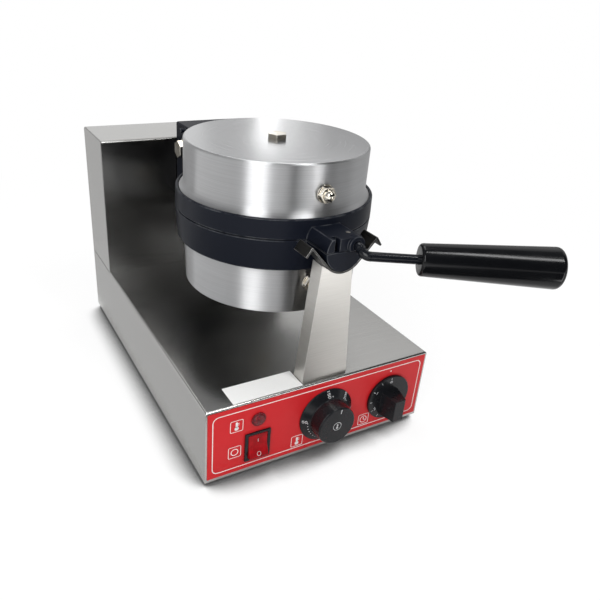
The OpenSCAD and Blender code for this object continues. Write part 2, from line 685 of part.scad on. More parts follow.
// the hinge ear's root on the ring and two corners of its upper edge, as [y, height]
ear_y = head_y + sqrt(pow(up_lip_in, 2) - pow(ear_x + ear_t, 2));
ear_a = [pin_y - 6, pin_rise + ear_r - 1.6];
ear_b = [ear_y + 14, ring_up_h + 3];
// the open lid's stop: a stud just behind the ear's upper edge at its open angle
open_angle = 100;
stop_r = 2.5;
function swung(p) = [
  p[0] * cos(open_angle) + p[1] * sin(open_angle), p[1] * cos(open_angle) - p[0] * sin(open_angle)
];
pin_at = [pin_y, pin_rise];
arm_foot = pin_at + swung(ear_a - pin_at);
arm_dir = (pin_at + swung(ear_b - pin_at) - arm_foot) / norm(ear_b - ear_a);
stop_at = arm_foot + 13.6 * arm_dir + (stop_r + 0.3) * [arm_dir[1], -arm_dir[0]];
bracket_spots = [[-16, -16], [16, -16]];
ear_spots = [-1, 1];
// middle of a ledge inside the box, clear of its wall by the screw's head
ledge_in = screw_head_r + 0.5;
module hinge_box() color(cast) at_axis() difference() {
  depth = box_back - box_y;
  union() {
    difference() {
      translate([0, box_y, -box_down]) bent_box(box_w, depth, box_down + box_up, 2);
      translate([-box_w / 2 + box_t, box_y + box_t, -box_down - skin])
        cube([box_w - 2 * box_t, depth - 2 * box_t, box_down + box_up - box_t + skin]);
    }
    // inner bosses for the hinge bolts and outer studs that stop the open lid
    for (s = ear_spots) {
      bar_x(min(s * (box_w / 2 - 12), s * box_w / 2), max(s * (box_w / 2 - 12), s * box_w / 2), pin_r + 4, pin_y, pin_rise);
      bar_x(min(s * box_w / 2, s * (ear_x + ear_t)) - skin, max(s * box_w / 2, s * (ear_x + ear_t)) + skin,
        stop_r, stop_at[0], stop_at[1]);
    }
    // ledges that carry the cover
    for (s = [-1, 1]) translate([s * (box_w / 2 - box_t - ledge_in) - ledge_in, box_y + box_t - skin, 4 - box_down])
      cube([2 * ledge_in, depth - 2 * box_t + 2 * skin, 4]);
  }
  for (s = ear_spots) bar_x(s * box_w / 2 - 13, s * box_w / 2 + 13, pin_r + fit, pin_y, pin_rise);
  bar_y(box_back - box_t - 1, box_back + 1, shaft_r + fit);
  for (p = flange_spots) bar_y(box_back - box_t - 1, box_back + 1, bolt_r + snug, p[0], p[1]);
  for (p = bracket_spots) bar_y(box_y - 1, box_y + box_t + 1, 4.1, p[0], p[1]);
  bar_y(box_y - 1, box_y + box_t + 1, conduit_r + 0.1, 0, conduit_z);
  for (p = cover_screw_spots) translate([p[0], p[1], 3 - box_down]) cylinder(h = 6, r = screw_r + snug);
}
cover_screw_spots = [for (s = ear_spots) [s * (box_w / 2 - box_t - ledge_in), (box_y + box_back) / 2]];
module box_cover() color(cast) at_axis() difference() {
  translate([-box_w / 2 + box_t + 0.3, box_y + box_t + 0.3, 1 - box_down])
    cube([box_w - 2 * box_t - 0.6, box_back - box_y - 2 * box_t - 0.6, 3]);
  for (p = cover_screw_spots) translate([p[0], p[1], -box_down]) cylinder(h = 6, r = screw_r + 0.1);
}
module cover_screws() color(nickel) at_axis() for (p = cover_screw_spots)
  translate([p[0], p[1], 1 - box_down]) rotate([180, 0, 0]) pan_screw(7);
// shoulder bolt, washer and hexagon head on each side
module hinge_bolts() color(nickel) at_axis() for (s = [0, 1]) mirror([s, 0, 0]) {
  bar_x(box_w / 2 - 11, ear_x + ear_t + 0.3, pin_r, pin_y, pin_rise);
  bar_x(ear_x + ear_t + 0.3, ear_x + ear_t + 1.9, pin_r + 5.5, pin_y, pin_rise);
  translate([ear_x + ear_t + 1.9, pin_y, pin_rise]) rotate([0, 90, 0]) hexagon(17, 6);
}

// ---- the two halves of the head, drawn as the upper one

module ring_body(h, lip_in) rotate_extrude() polygon([
  [seat_r, seam], [ring_r - 0.6, seam], [ring_r, seam + 0.6],
  [lip_in + lip_t, h - 0.6], [lip_in + lip_t - 0.6, h], [lip_in, h],
  [lip_in, ledge_h], [seat_r, ledge_h]
]);
// half of the round front lug, in the axis frame
module half_lug(top) intersection() {
  bar_y(-lug_out, head_y - ring_r + lip_t, lug_r);
  translate([-2 * lug_r, -2 * lug_r, seam]) cube([4 * lug_r, head_y, top - seam]);
}
// boss that the rod comes out of, kept inside the lug's circle and above the seam
module rod_boss() intersection() {
  bar_y(-lug_out - boss_out, 1, boss_r, rod_x, rod_rise);
  bar_y(-lug_out - boss_out - 1, 2, lug_r);
  translate([0, -2 * lug_r, seam]) cube(2 * lug_r + 2);
}
module upper_ring() color(cast) at_axis() difference() {
  union() {
    translate([0, head_y, 0]) ring_body(ring_up_h, up_lip_in);
    half_lug(lug_flat);
    rod_boss();
    for (s = ear_spots) ear(s);
  }
  translate([0, head_y, ledge_h]) cylinder(h = 3 * ring_up_h, r = up_lip_in);
  bar_y(-lug_out - boss_out - 1, rod_in, rod_r, rod_x, rod_rise);
  translate([rod_x, 8, rod_rise]) cylinder(h = lug_r, r = 2.1);
  // slot beside the rod
  translate([-11.3, -lug_out - 1, seam - 1]) cube([5, 9, lug_r]);
}
rod_in = 20;
// hinge ear outside the box, from the ring's back to the hinge bolt
module ear(s) difference() {
  union() {
    translate([s > 0 ? ear_x : -ear_x - ear_t, 0, 0]) rotate([90, 0, 90]) linear_extrude(ear_t) polygon([
      [ear_y, seam], [ear_y, ring_up_h - 0.5], ear_b, ear_a,
      [pin_y, pin_rise], [pin_y - 4, pin_rise - ear_r + 0.8], [pin_y - 28, seam + 2], [pin_y - 34, seam]
    ]);
    bar_x(s > 0 ? ear_x : -ear_x - ear_t, s > 0 ? ear_x + ear_t : -ear_x, ear_r, pin_y, pin_rise);
  }
  bar_x(-box_w, box_w, pin_r + fit, pin_y, pin_rise);
}
bracket_h = 24;
module lower_ring() color(cast) at_axis() difference() {
  union() {
    translate([0, head_y, 0]) lower_half() ring_body(ring_low_h, low_lip_in);
    lower_half() half_lug(lug_r + 1);
    // rear arm that bolts to the hinge box
    translate([-28, head_y + ring_r - 8, -bracket_h - 4])
      cube([56, box_y - head_y - ring_r + 8, bracket_h]);
  }
  translate([0, head_y, -2 * ring_low_h]) cylinder(h = 2 * ring_low_h - ledge_h, r = low_lip_in);
  translate([0, head_y, -2 * ring_low_h]) cylinder(h = 4 * ring_low_h, r = seat_r);
  for (p = bracket_spots) bar_y(box_y - 14, box_y + 1, 4 + snug, p[0], p[1]);
}
module bracket_bolts() color(nickel) at_axis() for (p = bracket_spots) {
  bar_y(box_y - 12, box_y + box_t, 4, p[0], p[1]);
  translate([p[0], box_y + box_t, p[1]]) rotate([-90, 0, 0]) hexagon(13, 5);
}

// waffle plate: rimmed disc with square pads, a flange on the ledge and a stud boss behind
module plate() {
  r_in = seat_r - 0.5;
  cells = floor(r_in / pad_pitch);
  pad = pad_pitch - groove_w;
  difference() {
    union() {
      rotate_extrude() polygon([
        [0, pad_face + pad_h], [r_in - rim_w, pad_face + pad_h], [r_in - rim_w, seam], [r_in, seam],
        [r_in, ledge_h], [flare_r, ledge_h], [flare_r, plate_back], [0, plate_back]
      ]);
      for (i = [-cells:cells], j = [-cells:cells])
        if (norm([abs(i) * pad_pitch + pad / 2, abs(j) * pad_pitch + pad / 2]) < r_in - rim_w - 1)
          translate([i * pad_pitch - pad / 2, j * pad_pitch - pad / 2, pad_face]) cube([pad, pad, pad_h + skin]);
      translate([0, 0, plate_back - skin]) cylinder(h = 6, r = stud_boss_r);
    }
    translate([0, 0, plate_back]) cylinder(h = 7, r = stud_r + fit);
  }
}
leg_x = 8;
module heater() translate([0, 0, plate_back + heater_tube_r]) {
  rotate_extrude() translate([heater_r, 0]) circle(heater_tube_r);
  for (s = [-1, 1]) translate([s * leg_x, sqrt(pow(heater_r, 2) - pow(leg_x, 2)), 0])
    cylinder(h = 2 * heater_tube_r + clamp_t + wool_t, r = 3);
}
module leg_holes(h) for (s = [-1, 1])
  translate([s * leg_x, sqrt(pow(heater_r, 2) - pow(leg_x, 2)), -skin]) cylinder(h = h + 2 * skin, r = 3.5);
module clamp() translate([0, 0, clamp_z]) difference() {
  cylinder(h = clamp_t, r = heater_r + heater_tube_r + 6);
  translate([0, 0, -skin]) cylinder(h = clamp_t + 1, r = stud_r + 0.2);
  leg_holes(clamp_t);
}
wool_in = 9.5;                   // space between a drum cover and the insulation
module wool_disc() translate([0, 0, clamp_z + clamp_t]) difference() {
  cylinder(h = wool_t, r = drum_r - wool_in);
  translate([0, 0, -skin]) cylinder(h = wool_t + 1, r = stud_r + 0.5);
  leg_holes(wool_t);
}
// a side nut faces forward and two face back, past the widest part of the drum
nut_turns = [0, 145, 215];
// angle brackets inside the drum that its side nuts pull on
module brackets(nut_h, turn, wall_r) for (a = nut_turns) rotate(a - turn) {
  translate([-7, -wall_r, plate_back]) difference() {
    union() {
      cube([14, 2, nut_h + 8 - plate_back]);
      cube([14, 7, 2]);
    }
    translate([7, -1, nut_h - plate_back]) rotate([-90, 0, 0]) cylinder(h = 4, r = 4.1);
  }
}
// spun cover from the plate's flange to its closed end
module drum(top, draft) {
  e = drum_edge_r;
  r1 = drum_r - draft;
  function outline(o) = concat(
    [[flare_r - o, plate_back], [flare_r - o, ring_up_h - 0.5]],
    [for (p = [[0.63, 1.5], [0.27, 5], [wall_k, wall_h]]) [drum_r + p[0] * drum_flare - o, ring_up_h + p[1]]],
    [for (a = [0:15:90]) [r1 - e + (e - o) * cos(a), top - e + (e - o) * sin(a)]]
  );
  rotate_extrude() polygon(concat([[0, top]], [for (i = [11:-1:0]) outline(0)[i]],
    outline(drum_t), [[0, top - drum_t]]));
}
// where a drum's plain wall starts, as a share of its flare and a height above the ring
wall_k = 0.03;
wall_h = 10;
module nut_holes(nut_h, turn) for (a = nut_turns) rotate(a - turn)
  bar_y(-flare_r - 2, -drum_r + 8, 4.1, 0, nut_h);
// outer radius of a drum's plain wall at height h
function wall_at(h, top, draft) = drum_r + wall_k * drum_flare
  - (draft + wall_k * drum_flare) * (h - ring_up_h - wall_h) / (top - drum_edge_r - ring_up_h - wall_h);
// domed nut, washer and stud at three places round a drum
module side_nuts(nut_h, turn, wall_r) for (a = nut_turns) rotate(a - turn)
  translate([0, -wall_r - 0.15, nut_h]) rotate([90, 0, 0]) {
    translate([0, 0, -8]) cylinder(h = 9, r = 4);
    cylinder(h = 1.6, r = washer_r);
    translate([0, 0, 1.6]) hexagon(side_af, 4.4);
    translate([0, 0, 6]) cylinder(h = 0.8, r = side_af / 2 - 1.5);
    translate([0, 0, 6.8]) intersection() {
      sphere(side_af / 2 - 1.5);
      cylinder(h = side_af, r = side_af);
    }
  }
washer_r = 8.5;
module centre_bolt(top) {
  translate([0, 0, plate_back]) cylinder(h = top + centre_nut_h - 0.5 - plate_back, r = stud_r);
  translate([0, 0, top]) hexagon(centre_af, centre_nut_h);
}

module upper_plate() color(black) at_head() plate();
module upper_heater() color(nickel) at_head() heater();
module upper_clamp() color(steel) at_head() clamp();
module upper_wool() color(wool) at_head() wool_disc();
module upper_brackets() color(steel) at_head() brackets(side_nut_up, 0, wall_at(side_nut_up + 8, drum_up_h, 0) - drum_t - 0.5);
module upper_drum() color(steel) at_head() difference() {
  drum(drum_up_h, 0);
  nut_holes(side_nut_up, 0);
  translate([0, 0, drum_up_h - 5]) cylinder(h = 10, r = stud_r + 0.1);
}
module upper_drum_nuts() color(nickel) at_head()
  side_nuts(side_nut_up, 0, wall_at(side_nut_up - washer_r, drum_up_h, 0));
module upper_centre_bolt() color(nickel) at_head() centre_bolt(drum_up_h);

module lower_plate() color(black) at_head() lower_half() plate();
module lower_heater() color(nickel) at_head() lower_half() heater();
module lower_clamp() color(steel) at_head() lower_half() clamp();
module lower_wool() color(wool) at_head() lower_half() wool_disc();
module lower_brackets() color(steel) at_head() lower_half()
  brackets(side_nut_low, side_nut_turn, wall_at(side_nut_low + 8, drum_low_h, drum_draft) - drum_t - 0.5);
module lower_drum() color(steel) at_head() lower_half() difference() {
  drum(drum_low_h, drum_draft);
  nut_holes(side_nut_low, side_nut_turn);
  translate([0, 0, drum_low_h - 5]) cylinder(h = 10, r = stud_r + 0.1);
  bar_y(drum_r - 20, drum_r + 20, conduit_r + 0.1, 0, -conduit_z);
}
module lower_drum_nuts() color(nickel) at_head() lower_half()
  side_nuts(side_nut_low, side_nut_turn, wall_at(side_nut_low - washer_r, drum_low_h, drum_draft));
module lower_centre_bolt() color(nickel) at_head() lower_half() centre_bolt(drum_low_h);
// metal sleeve that leads the wires from the hinge box into the lower drum
module lower_conduit() color(nickel) at_axis() difference() {
  bar_y(head_y + drum_r - 8, box_y + box_t, conduit_r, 0, conduit_z);
  bar_y(head_y, tower_y, conduit_r - 1.5, 0, conduit_z);
}

// ---- handle

grip_dir = [cos(grip_turn), -sin(grip_turn), 0];
grip_hole_l = 30;
front_dir = [0, -1, 0];
dip_dir = [0, -cos(rod_dip), -sin(rod_dip)];
// the rod leaves the lug forwards, steps down to the seam's height and turns to the grip
bend_1 = [rod_x, -lug_out - boss_out - 0.2, rod_rise];
dip_start = bend_1 + bend_step(front_dir, dip_dir);
dip_drop = dip_start[2] + bend_step(dip_dir, grip_dir)[2];
bend_2 = dip_start + dip_drop / sin(rod_dip) * dip_dir;
grip_line = bend_2 + bend_step(dip_dir, grip_dir);
grip_start = grip_line + grip_gap * grip_dir;
function turn_of(u, v) = acos(u * v);
function bend_step(u, v) = rod_bend_r * tan(turn_of(u, v) / 2) * (u + v);
// quarter-torus piece that starts at p along u and ends along v
module bend(p, u, v) {
  w = (v - (u * v) * u) / sin(turn_of(u, v));
  c = p + rod_bend_r * w;
  multmatrix([[-w[0], u[0], -cross(w, u)[0], c[0]], [-w[1], u[1], -cross(w, u)[1], c[1]],
    [-w[2], u[2], -cross(w, u)[2], c[2]], [0, 0, 0, 1]])
    rotate_extrude(angle = turn_of(u, v)) translate([rod_bend_r, 0]) circle(rod_r);
}
module handle_rod() color(black) at_axis() {
  // the straight parts are a hair thinner and reach a little into the bends
  bar_y(bend_1[1] - 0.3, rod_in, rod_r - lap, rod_x, rod_rise);
  bend(bend_1, front_dir, dip_dir);
  rod_between(dip_start - 0.3 * dip_dir, bend_2 + 0.3 * dip_dir, rod_r - lap);
  bend(bend_2, dip_dir, grip_dir);
  rod_between(grip_line - 0.3 * grip_dir, grip_start + (grip_hole_l - 1) * grip_dir, rod_r - lap);
}
module rod_screw() color(nickel) at_axis() translate([rod_x, 8, rod_rise + rod_r])
  cylinder(h = lug_flat - rod_rise - rod_r - 0.4, r = 2);
module handle_grip() color(black) at_axis() translate(grip_start) rotate([0, 90, -grip_turn]) difference() {
  rotate_extrude() polygon(concat(
    [[0, 0]],
    [for (a = [0:22.5:90]) [grip_r1 - 2.5 + 2.5 * sin(a), 2.5 - 2.5 * cos(a)]],
    [for (a = [0:15:90]) [grip_r2 - 5 + 5 * cos(a), grip_l - 5 + 5 * sin(a)]],
    [[0, grip_l]]
  ));
  translate([0, 0, -skin]) cylinder(h = grip_hole_l, r = rod_r + fit);
}

// ---- one line for each node

base_shell();
bottom_plate();
rubber_feet();
case_screws();
tower_shell();
back_cover();
control_film();
name_label();
post();
saddle();
post_bolts();
bearing_housing();
bearing_bush();
housing_bolts();
thermostat_body();
timer_body();
panel_nuts();
switch_body();
lamp_lens();
lamp_body();
terminal_block();
wire_loom();
cord_gland();
gland_nut();
trunnion_shaft();
stop_collar();
thrust_washer();
flange_bolts();
hinge_box();
box_cover();
cover_screws();
hinge_bolts();
lower_ring();
bracket_bolts();
lower_plate();
lower_heater();
lower_clamp();
lower_wool();
lower_brackets();
lower_drum();
lower_drum_nuts();
lower_centre_bolt();
lower_conduit();
upper_ring();
upper_plate();
upper_heater();
upper_clamp();
upper_wool();
upper_brackets();
upper_drum();
upper_drum_nuts();
upper_centre_bolt();
handle_rod();
handle_grip();
rod_screw();
thermostat_knob();
thermostat_spindle();
timer_knob();
timer_spindle();
rocker();
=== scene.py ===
"""Dresses the jointed rotary waffle iron: sheet steel, castings, spun drums, panel and studio."""

import json
from math import cos, hypot, pi, radians, sin, tau

import bmesh
import bpy
from bpy.props import FloatProperty, FloatVectorProperty, IntProperty, PointerProperty
from bpy.types import Operator, Panel, PropertyGroup
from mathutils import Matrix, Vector
from mathutils.bvhtree import BVHTree

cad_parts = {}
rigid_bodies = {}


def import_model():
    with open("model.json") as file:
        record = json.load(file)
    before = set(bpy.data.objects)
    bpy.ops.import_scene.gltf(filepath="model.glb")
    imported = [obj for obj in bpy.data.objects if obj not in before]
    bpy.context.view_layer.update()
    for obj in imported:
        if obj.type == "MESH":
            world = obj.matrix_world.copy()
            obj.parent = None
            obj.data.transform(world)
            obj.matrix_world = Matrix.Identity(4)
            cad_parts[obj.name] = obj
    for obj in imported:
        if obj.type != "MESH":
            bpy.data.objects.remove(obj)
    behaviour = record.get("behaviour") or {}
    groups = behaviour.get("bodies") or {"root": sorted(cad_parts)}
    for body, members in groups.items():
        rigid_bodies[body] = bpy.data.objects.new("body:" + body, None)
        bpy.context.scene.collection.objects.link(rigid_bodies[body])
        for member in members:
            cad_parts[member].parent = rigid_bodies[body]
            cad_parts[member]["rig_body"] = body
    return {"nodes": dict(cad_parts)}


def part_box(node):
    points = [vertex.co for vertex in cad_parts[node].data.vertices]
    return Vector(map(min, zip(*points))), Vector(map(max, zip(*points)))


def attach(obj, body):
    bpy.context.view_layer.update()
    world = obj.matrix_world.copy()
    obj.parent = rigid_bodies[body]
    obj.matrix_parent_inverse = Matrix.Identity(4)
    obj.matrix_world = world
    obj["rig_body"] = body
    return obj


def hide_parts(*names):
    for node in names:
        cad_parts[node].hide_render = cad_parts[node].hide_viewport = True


bl_info = {
    "name": "Rotary Waffle Iron",
    "version": (1, 0, 0),
    "blender": (4, 5, 0),
    "location": "3D View > Sidebar > Waffle Iron",
    "description": "Dresses a jointed rotary waffle iron and sets up its studio",
    "category": "Object",
}

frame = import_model()
bpy.context.view_layer.update()
CAD_NODES = frame["nodes"]
MM = 0.001


def cad_box():
    """Lowest and highest corner of all the CAD nodes together."""
    boxes = [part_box(node) for node in CAD_NODES]
    return tuple(
        Vector([pick(box[end][i] for box in boxes) for i in range(3)])
        for end, pick in ((0, min), (1, max))
    )


def middle(node):
    """Middle of a CAD node's box."""
    lo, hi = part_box(node)
    return (lo + hi) / 2


CAD_BOX = cad_box()
HEAD = middle("upper_drum")
SEAM_Z = (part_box("upper_ring")[0].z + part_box("lower_ring")[1].z) / 2
SEAM_MIDDLE = Vector((HEAD.x, HEAD.y, SEAM_Z))
FILM_LO, FILM_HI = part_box("control_film")
# the painted shade on the steel is darkest here, left of the head and just before the tower
PAINTED_SHADE_MIDDLE = (HEAD.x - 0.040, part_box("tower_shell")[0].y - 0.012, SEAM_Z - 0.0075)


# ---- settings


def colour_setting(name, description, default):
    """A colour that a user can change."""
    return FloatVectorProperty(
        name=name, description=description, subtype="COLOR", size=3, min=0, max=1, default=default
    )


def length_setting(name, description, low, high, default):
    """A length that a user can change."""
    return FloatProperty(
        name=name, description=description, subtype="DISTANCE", unit="LENGTH",
        min=low, max=high, default=default,
    )


def power_setting(name, description, default):
    """A lamp's power that a user can change."""
    return FloatProperty(
        name=name, description=description, subtype="POWER", unit="POWER",
        min=0, max=200, default=default,
    )


class IronFinish(PropertyGroup):
    """Colours of the waffle iron's finishes."""

    steel: colour_setting("Stainless steel", "Colour of the brushed sheet", (0.515, 0.511, 0.498))
    drum: colour_setting("Spun steel", "Colour of the spun drum covers", (0.575, 0.58, 0.59))
    nickel: colour_setting(
        "Nickel plate", "Colour of the nuts, bolts and washers", (0.66, 0.63, 0.57)
    )
    casting: colour_setting(
        "Casting paint", "Colour of the painted castings", (0.0058, 0.0073, 0.0125)
    )
    moulding: colour_setting(
        "Black plastic", "Colour of the dials and the grip", (0.0065, 0.0070, 0.0085)
    )
    film: colour_setting("Panel film", "Colour of the control panel's film", (0.53, 0.010, 0.014))
    ink: colour_setting("Panel ink", "Colour of the printed lines and marks", (0.80, 0.79, 0.78))
    rocker: colour_setting("Rocker", "Colour of the lit rocker's plastic", (0.34, 0.006, 0.010))
    lamp: colour_setting("Lamp lens", "Colour of the heating lamp's lens", (0.16, 0.010, 0.016))


class IronForm(PropertyGroup):
    """Roundings, segments and line width of the dressed pieces."""

    sheet_edge: length_setting(
        "Sheet edge", "Rounding of the cut edges of the sheet", 0.0001, 0.001, 0.00025
    )
    casting_edge: length_setting(
        "Casting edge", "Rounding of the castings' edges", 0.0002, 0.002, 0.0006
    )
    moulding_edge: length_setting(
        "Moulding edge", "Rounding of the plastic parts' edges", 0.0001, 0.001, 0.0004
    )
    hardware_edge: length_setting(
        "Hardware edge", "Rounding of the nuts' and bolts' edges", 0.00005, 0.0006, 0.00025
    )
    turned_segments: IntProperty(
        name="Turned segments", description="Segments round a turned piece",
        min=48, max=512, default=192,
    )
    line_width: length_setting(
        "Printed line", "Width of the panel's printed lines", 0.0003, 0.002, 0.0009
    )


class IronStudio(PropertyGroup):
    """Camera, lamps and floor."""

    lens: FloatProperty(
        name="Lens", description="Focal length on a 36 mm sensor",
        subtype="DISTANCE_CAMERA", min=10, max=200, default=36.70,
    )
    floor_size: length_setting("Floor", "Width of the floor", 2, 40, 14)
    key_power: power_setting("Key lamp", "Power of the soft lamp on the left", 14)
    fill_power: power_setting("Fill lamp", "Power of the soft lamp on the right", 9)
    top_power: power_setting("Top lamp", "Power of the soft lamp overhead", 9)


# ---- shader building


def add_node(tree, kind, inputs=None, **settings):
    """A new shader node with its settings and its inputs' values or links."""
    node = tree.nodes.new("ShaderNode" + kind)
    for key, value in settings.items():
        setattr(node, key, value)
    for key, value in (inputs or {}).items():
        connect(tree, value, node.inputs[key])
    return node


def connect(tree, value, socket):
    """Links a socket to an input, or sets the input's plain value."""
    if isinstance(value, bpy.types.NodeSocket):
        tree.links.new(value, socket)
    elif isinstance(value, (tuple, list)) and len(value) == 3 and socket.type == "RGBA":
        socket.default_value = (*value, 1)
    else:
        socket.default_value = value


def cleared(owner):
    """The emptied node tree of a material or a world."""
    owner.use_nodes = True
    owner.node_tree.nodes.clear()
    return owner.node_tree


def show(tree, shader, kind="OutputMaterial"):
    """Links a shader to the tree's output."""
    add_node(tree, kind, {"Surface": shader.outputs[0]})


def maths(tree, operation, a, b=0.0, clamp=False):
    """Output of a Math node."""
    node = add_node(tree, "Math", {0: a, 1: b}, operation=operation, use_clamp=clamp)
    return node.outputs[0]


def times(tree, value, factor):
    """A value times a factor."""
    return maths(tree, "MULTIPLY", value, factor)


def remap(tree, value, low, high, start=0.0, end=1.0):
    """Output of a Map Range node from 0-1, or start-end, to low-high."""
    node = add_node(
        tree, "MapRange",
        {"Value": value, "From Min": start, "From Max": end, "To Min": low, "To Max": high},
    )
    return node.outputs["Result"]


def blend_colour(tree, factor, a, b):
    """Output of a colour Mix node."""
    node = add_node(tree, "Mix", data_type="RGBA")
    for key, value in (("Factor", factor), (6, a), (7, b)):
        connect(tree, value, node.inputs[key])
    return node.outputs[2]


def noise(tree, vector, scale, detail=2.0, roughness=0.5):
    """Output of a Noise texture."""
    node = add_node(
        tree, "TexNoise",
        {"Vector": vector, "Scale": scale, "Detail": detail, "Roughness": roughness},
    )
    return node.outputs["Fac"]


def place_on_piece(tree):
    """Where on its piece a surface point is."""
    return add_node(tree, "TexCoord").outputs["Object"]


def vector_maths(tree, operation, a, b=(0, 0, 0)):
    """Output of a Vector Math node: a number for a length or a distance, or else a vector."""
    node = add_node(tree, "VectorMath", {0: a, 1: b}, operation=operation)
    return node.outputs["Value" if operation in ("LENGTH", "DISTANCE") else "Vector"]


def split(tree, vector):
    """X, Y and Z outputs of a vector."""
    return add_node(tree, "SeparateXYZ", {0: vector}).outputs


def mix_shaders(tree, share, a, b):
    """A mix of two shader nodes."""
    return add_node(tree, "MixShader", {0: share, 1: a.outputs[0], 2: b.outputs[0]})


def effect_group(name, inputs, build):
    """A shader node group, built once, from its inputs' defaults and what build() puts out."""
    tree = bpy.data.node_groups.get(name)
    if tree:
        return tree
    tree = bpy.data.node_groups.new(name, "ShaderNodeTree")
    for label, default in inputs.items():
        kind = "NodeSocketVector" if isinstance(default, tuple) else "NodeSocketFloat"
        socket = tree.interface.new_socket(label, in_out="INPUT", socket_type=kind)
        socket.default_value = default
    entry, end = tree.nodes.new("NodeGroupInput"), tree.nodes.new("NodeGroupOutput")
    for label, value in build(tree, entry.outputs).items():
        tree.interface.new_socket(label, in_out="OUTPUT", socket_type="NodeSocketFloat")
        tree.links.new(value, end.inputs[label])
    return tree


def use_effect(tree, group, **values):
    """Places an effect group in a material. Underscores in the names stand for spaces."""
    node = add_node(tree, "Group", node_tree=group)
    for key, value in values.items():
        connect(tree, value, node.inputs[key.replace("_", " ")])
    return node.outputs


def brushed_lines():
    """Fine straight brush lines that follow the long way of each face."""

    def build(tree, given):
        place = add_node(tree, "TexCoord").outputs
        facing = maths(tree, "ABSOLUTE", split(tree, place["Normal"])["X"])
        side = maths(tree, "GREATER_THAN", facing, 0.7)
        mixed = add_node(tree, "Mix", {"Factor": side}, data_type="FLOAT")
        for socket, squeeze in ((2, (1, 40, 40)), (3, (40, 1, 40))):
            squeezed = vector_maths(tree, "MULTIPLY", place["Object"], squeeze)
            fine = noise(tree, squeezed, given["Fineness"], detail=2, roughness=0.65)
            connect(tree, fine, mixed.inputs[socket])
        return {"Lines": remap(tree, mixed.outputs[0], 0, 1, start=0.28, end=0.72)}

    return effect_group("Brushed Lines", {"Fineness": 60.0}, build)


def turned_lines():
    """Fine lines round the vertical axis through a point, as on a spun or turned face."""

    def build(tree, given):
        offset = vector_maths(tree, "SUBTRACT", place_on_piece(tree), given["Middle"])
        x, y, z = split(tree, offset)
        flat = add_node(tree, "CombineXYZ", {0: x, 1: y}).outputs[0]
        angle = times(tree, maths(tree, "ARCTAN2", y, x), 0.0006)
        radius = vector_maths(tree, "LENGTH", flat)
        unrolled = add_node(tree, "CombineXYZ", {0: radius, 1: angle, 2: z}).outputs[0]
        fine = noise(tree, unrolled, given["Fineness"], detail=3, roughness=0.7)
        return {"Lines": remap(tree, fine, 0, 1, start=0.28, end=0.72)}

    return effect_group("Turned Lines", {"Middle": (0, 0, 0), "Fineness": 1800.0}, build)


def surface_grain():
    """Fine even grain with broad soft smudges over it."""

    def build(tree, given):
        place = place_on_piece(tree)
        fine = noise(tree, place, given["Grain Scale"], detail=2, roughness=0.6)
        broad = noise(tree, place, given["Smudge Scale"], detail=4, roughness=0.6)
        return {"Grain": fine, "Smudge": remap(tree, broad, 0, 1, start=0.35, end=0.68)}

    return effect_group("Surface Grain", {"Grain Scale": 1200.0, "Smudge Scale": 22.0}, build)


def worn_and_highlit_edges():
    """Mask of the rounded edges, broken up in patches, where a finish shows scuffing and painted
    highlight.
    """

    def build(tree, given):
        edge = add_node(tree, "Attribute", attribute_name="rounded_edge")
        worn_and_highlit = noise(tree, place_on_piece(tree), given["Scale"], detail=4, roughness=0.6)
        patches = remap(tree, worn_and_highlit, 0, 1, start=0.38, end=0.62)
        edge_patches = times(tree, edge.outputs["Fac"], patches)
        return {"Mask": maths(tree, "MULTIPLY", edge_patches, given["Amount"], clamp=True)}

    return effect_group("Worn Edges", {"Amount": 0.5, "Scale": 60.0}, build)


def tower_front_painted_shade():
    """Mask of painted shade on the steel at and before the tower's front, strongest near its
    middle.
    """

    def build(tree, given):
        offset = vector_maths(tree, "SUBTRACT", place_on_piece(tree), given["Middle"])
        away = vector_maths(tree, "LENGTH", offset)
        near = remap(tree, away, 1, 0, start=0.068, end=0.150)
        before_tower = remap(tree, split(tree, offset)["Y"], 1, 0, start=0.0135, end=0.0155)
        return {"Mask": maths(tree, "MULTIPLY", near, before_tower, clamp=True)}

    return effect_group("Heat Tint", {"Middle": (0, 0, 0)}, build)


# ---- materials


def new_material(name, **constants):
    """A material with its Principled shader, its constants set on the shader's own sockets."""
    material = bpy.data.materials.new(name)
    tree = cleared(material)
    shader = add_node(tree, "BsdfPrincipled")
    show(tree, shader)
    for key, value in constants.items():
        connect(tree, value, shader.inputs[key.replace("_", " ")])
    return material, tree, shader.inputs


def grained(tree, grain, smudge):
    """Outputs of the surface grain at these scales."""
    return use_effect(tree, surface_grain(), Grain_Scale=grain, Smudge_Scale=smudge)


def edge_wear_and_highlight(tree, amount, scale):
    """Mask of the bright edges, partly scuffing and partly painted highlight."""
    return use_effect(tree, worn_and_highlit_edges(), Amount=amount, Scale=scale)["Mask"]


def wire_up(tree, into, base, rough, height, distance, strength):
    """Connects a material's colour, its roughness and its bump."""
    bump = add_node(
        tree, "Bump", {"Height": height, "Distance": distance, "Strength": strength}
    )
    connect(tree, base, into["Base Color"])
    connect(tree, rough, into["Roughness"])
    connect(tree, bump.outputs["Normal"], into["Normal"])


def scaled(colour, *factors, lift=0.0):
    """A colour times one factor or a factor for each channel, and lifted a little."""
    return tuple(min(1, c * k + lift) for c, k in zip(colour, factors * (3 // len(factors))))


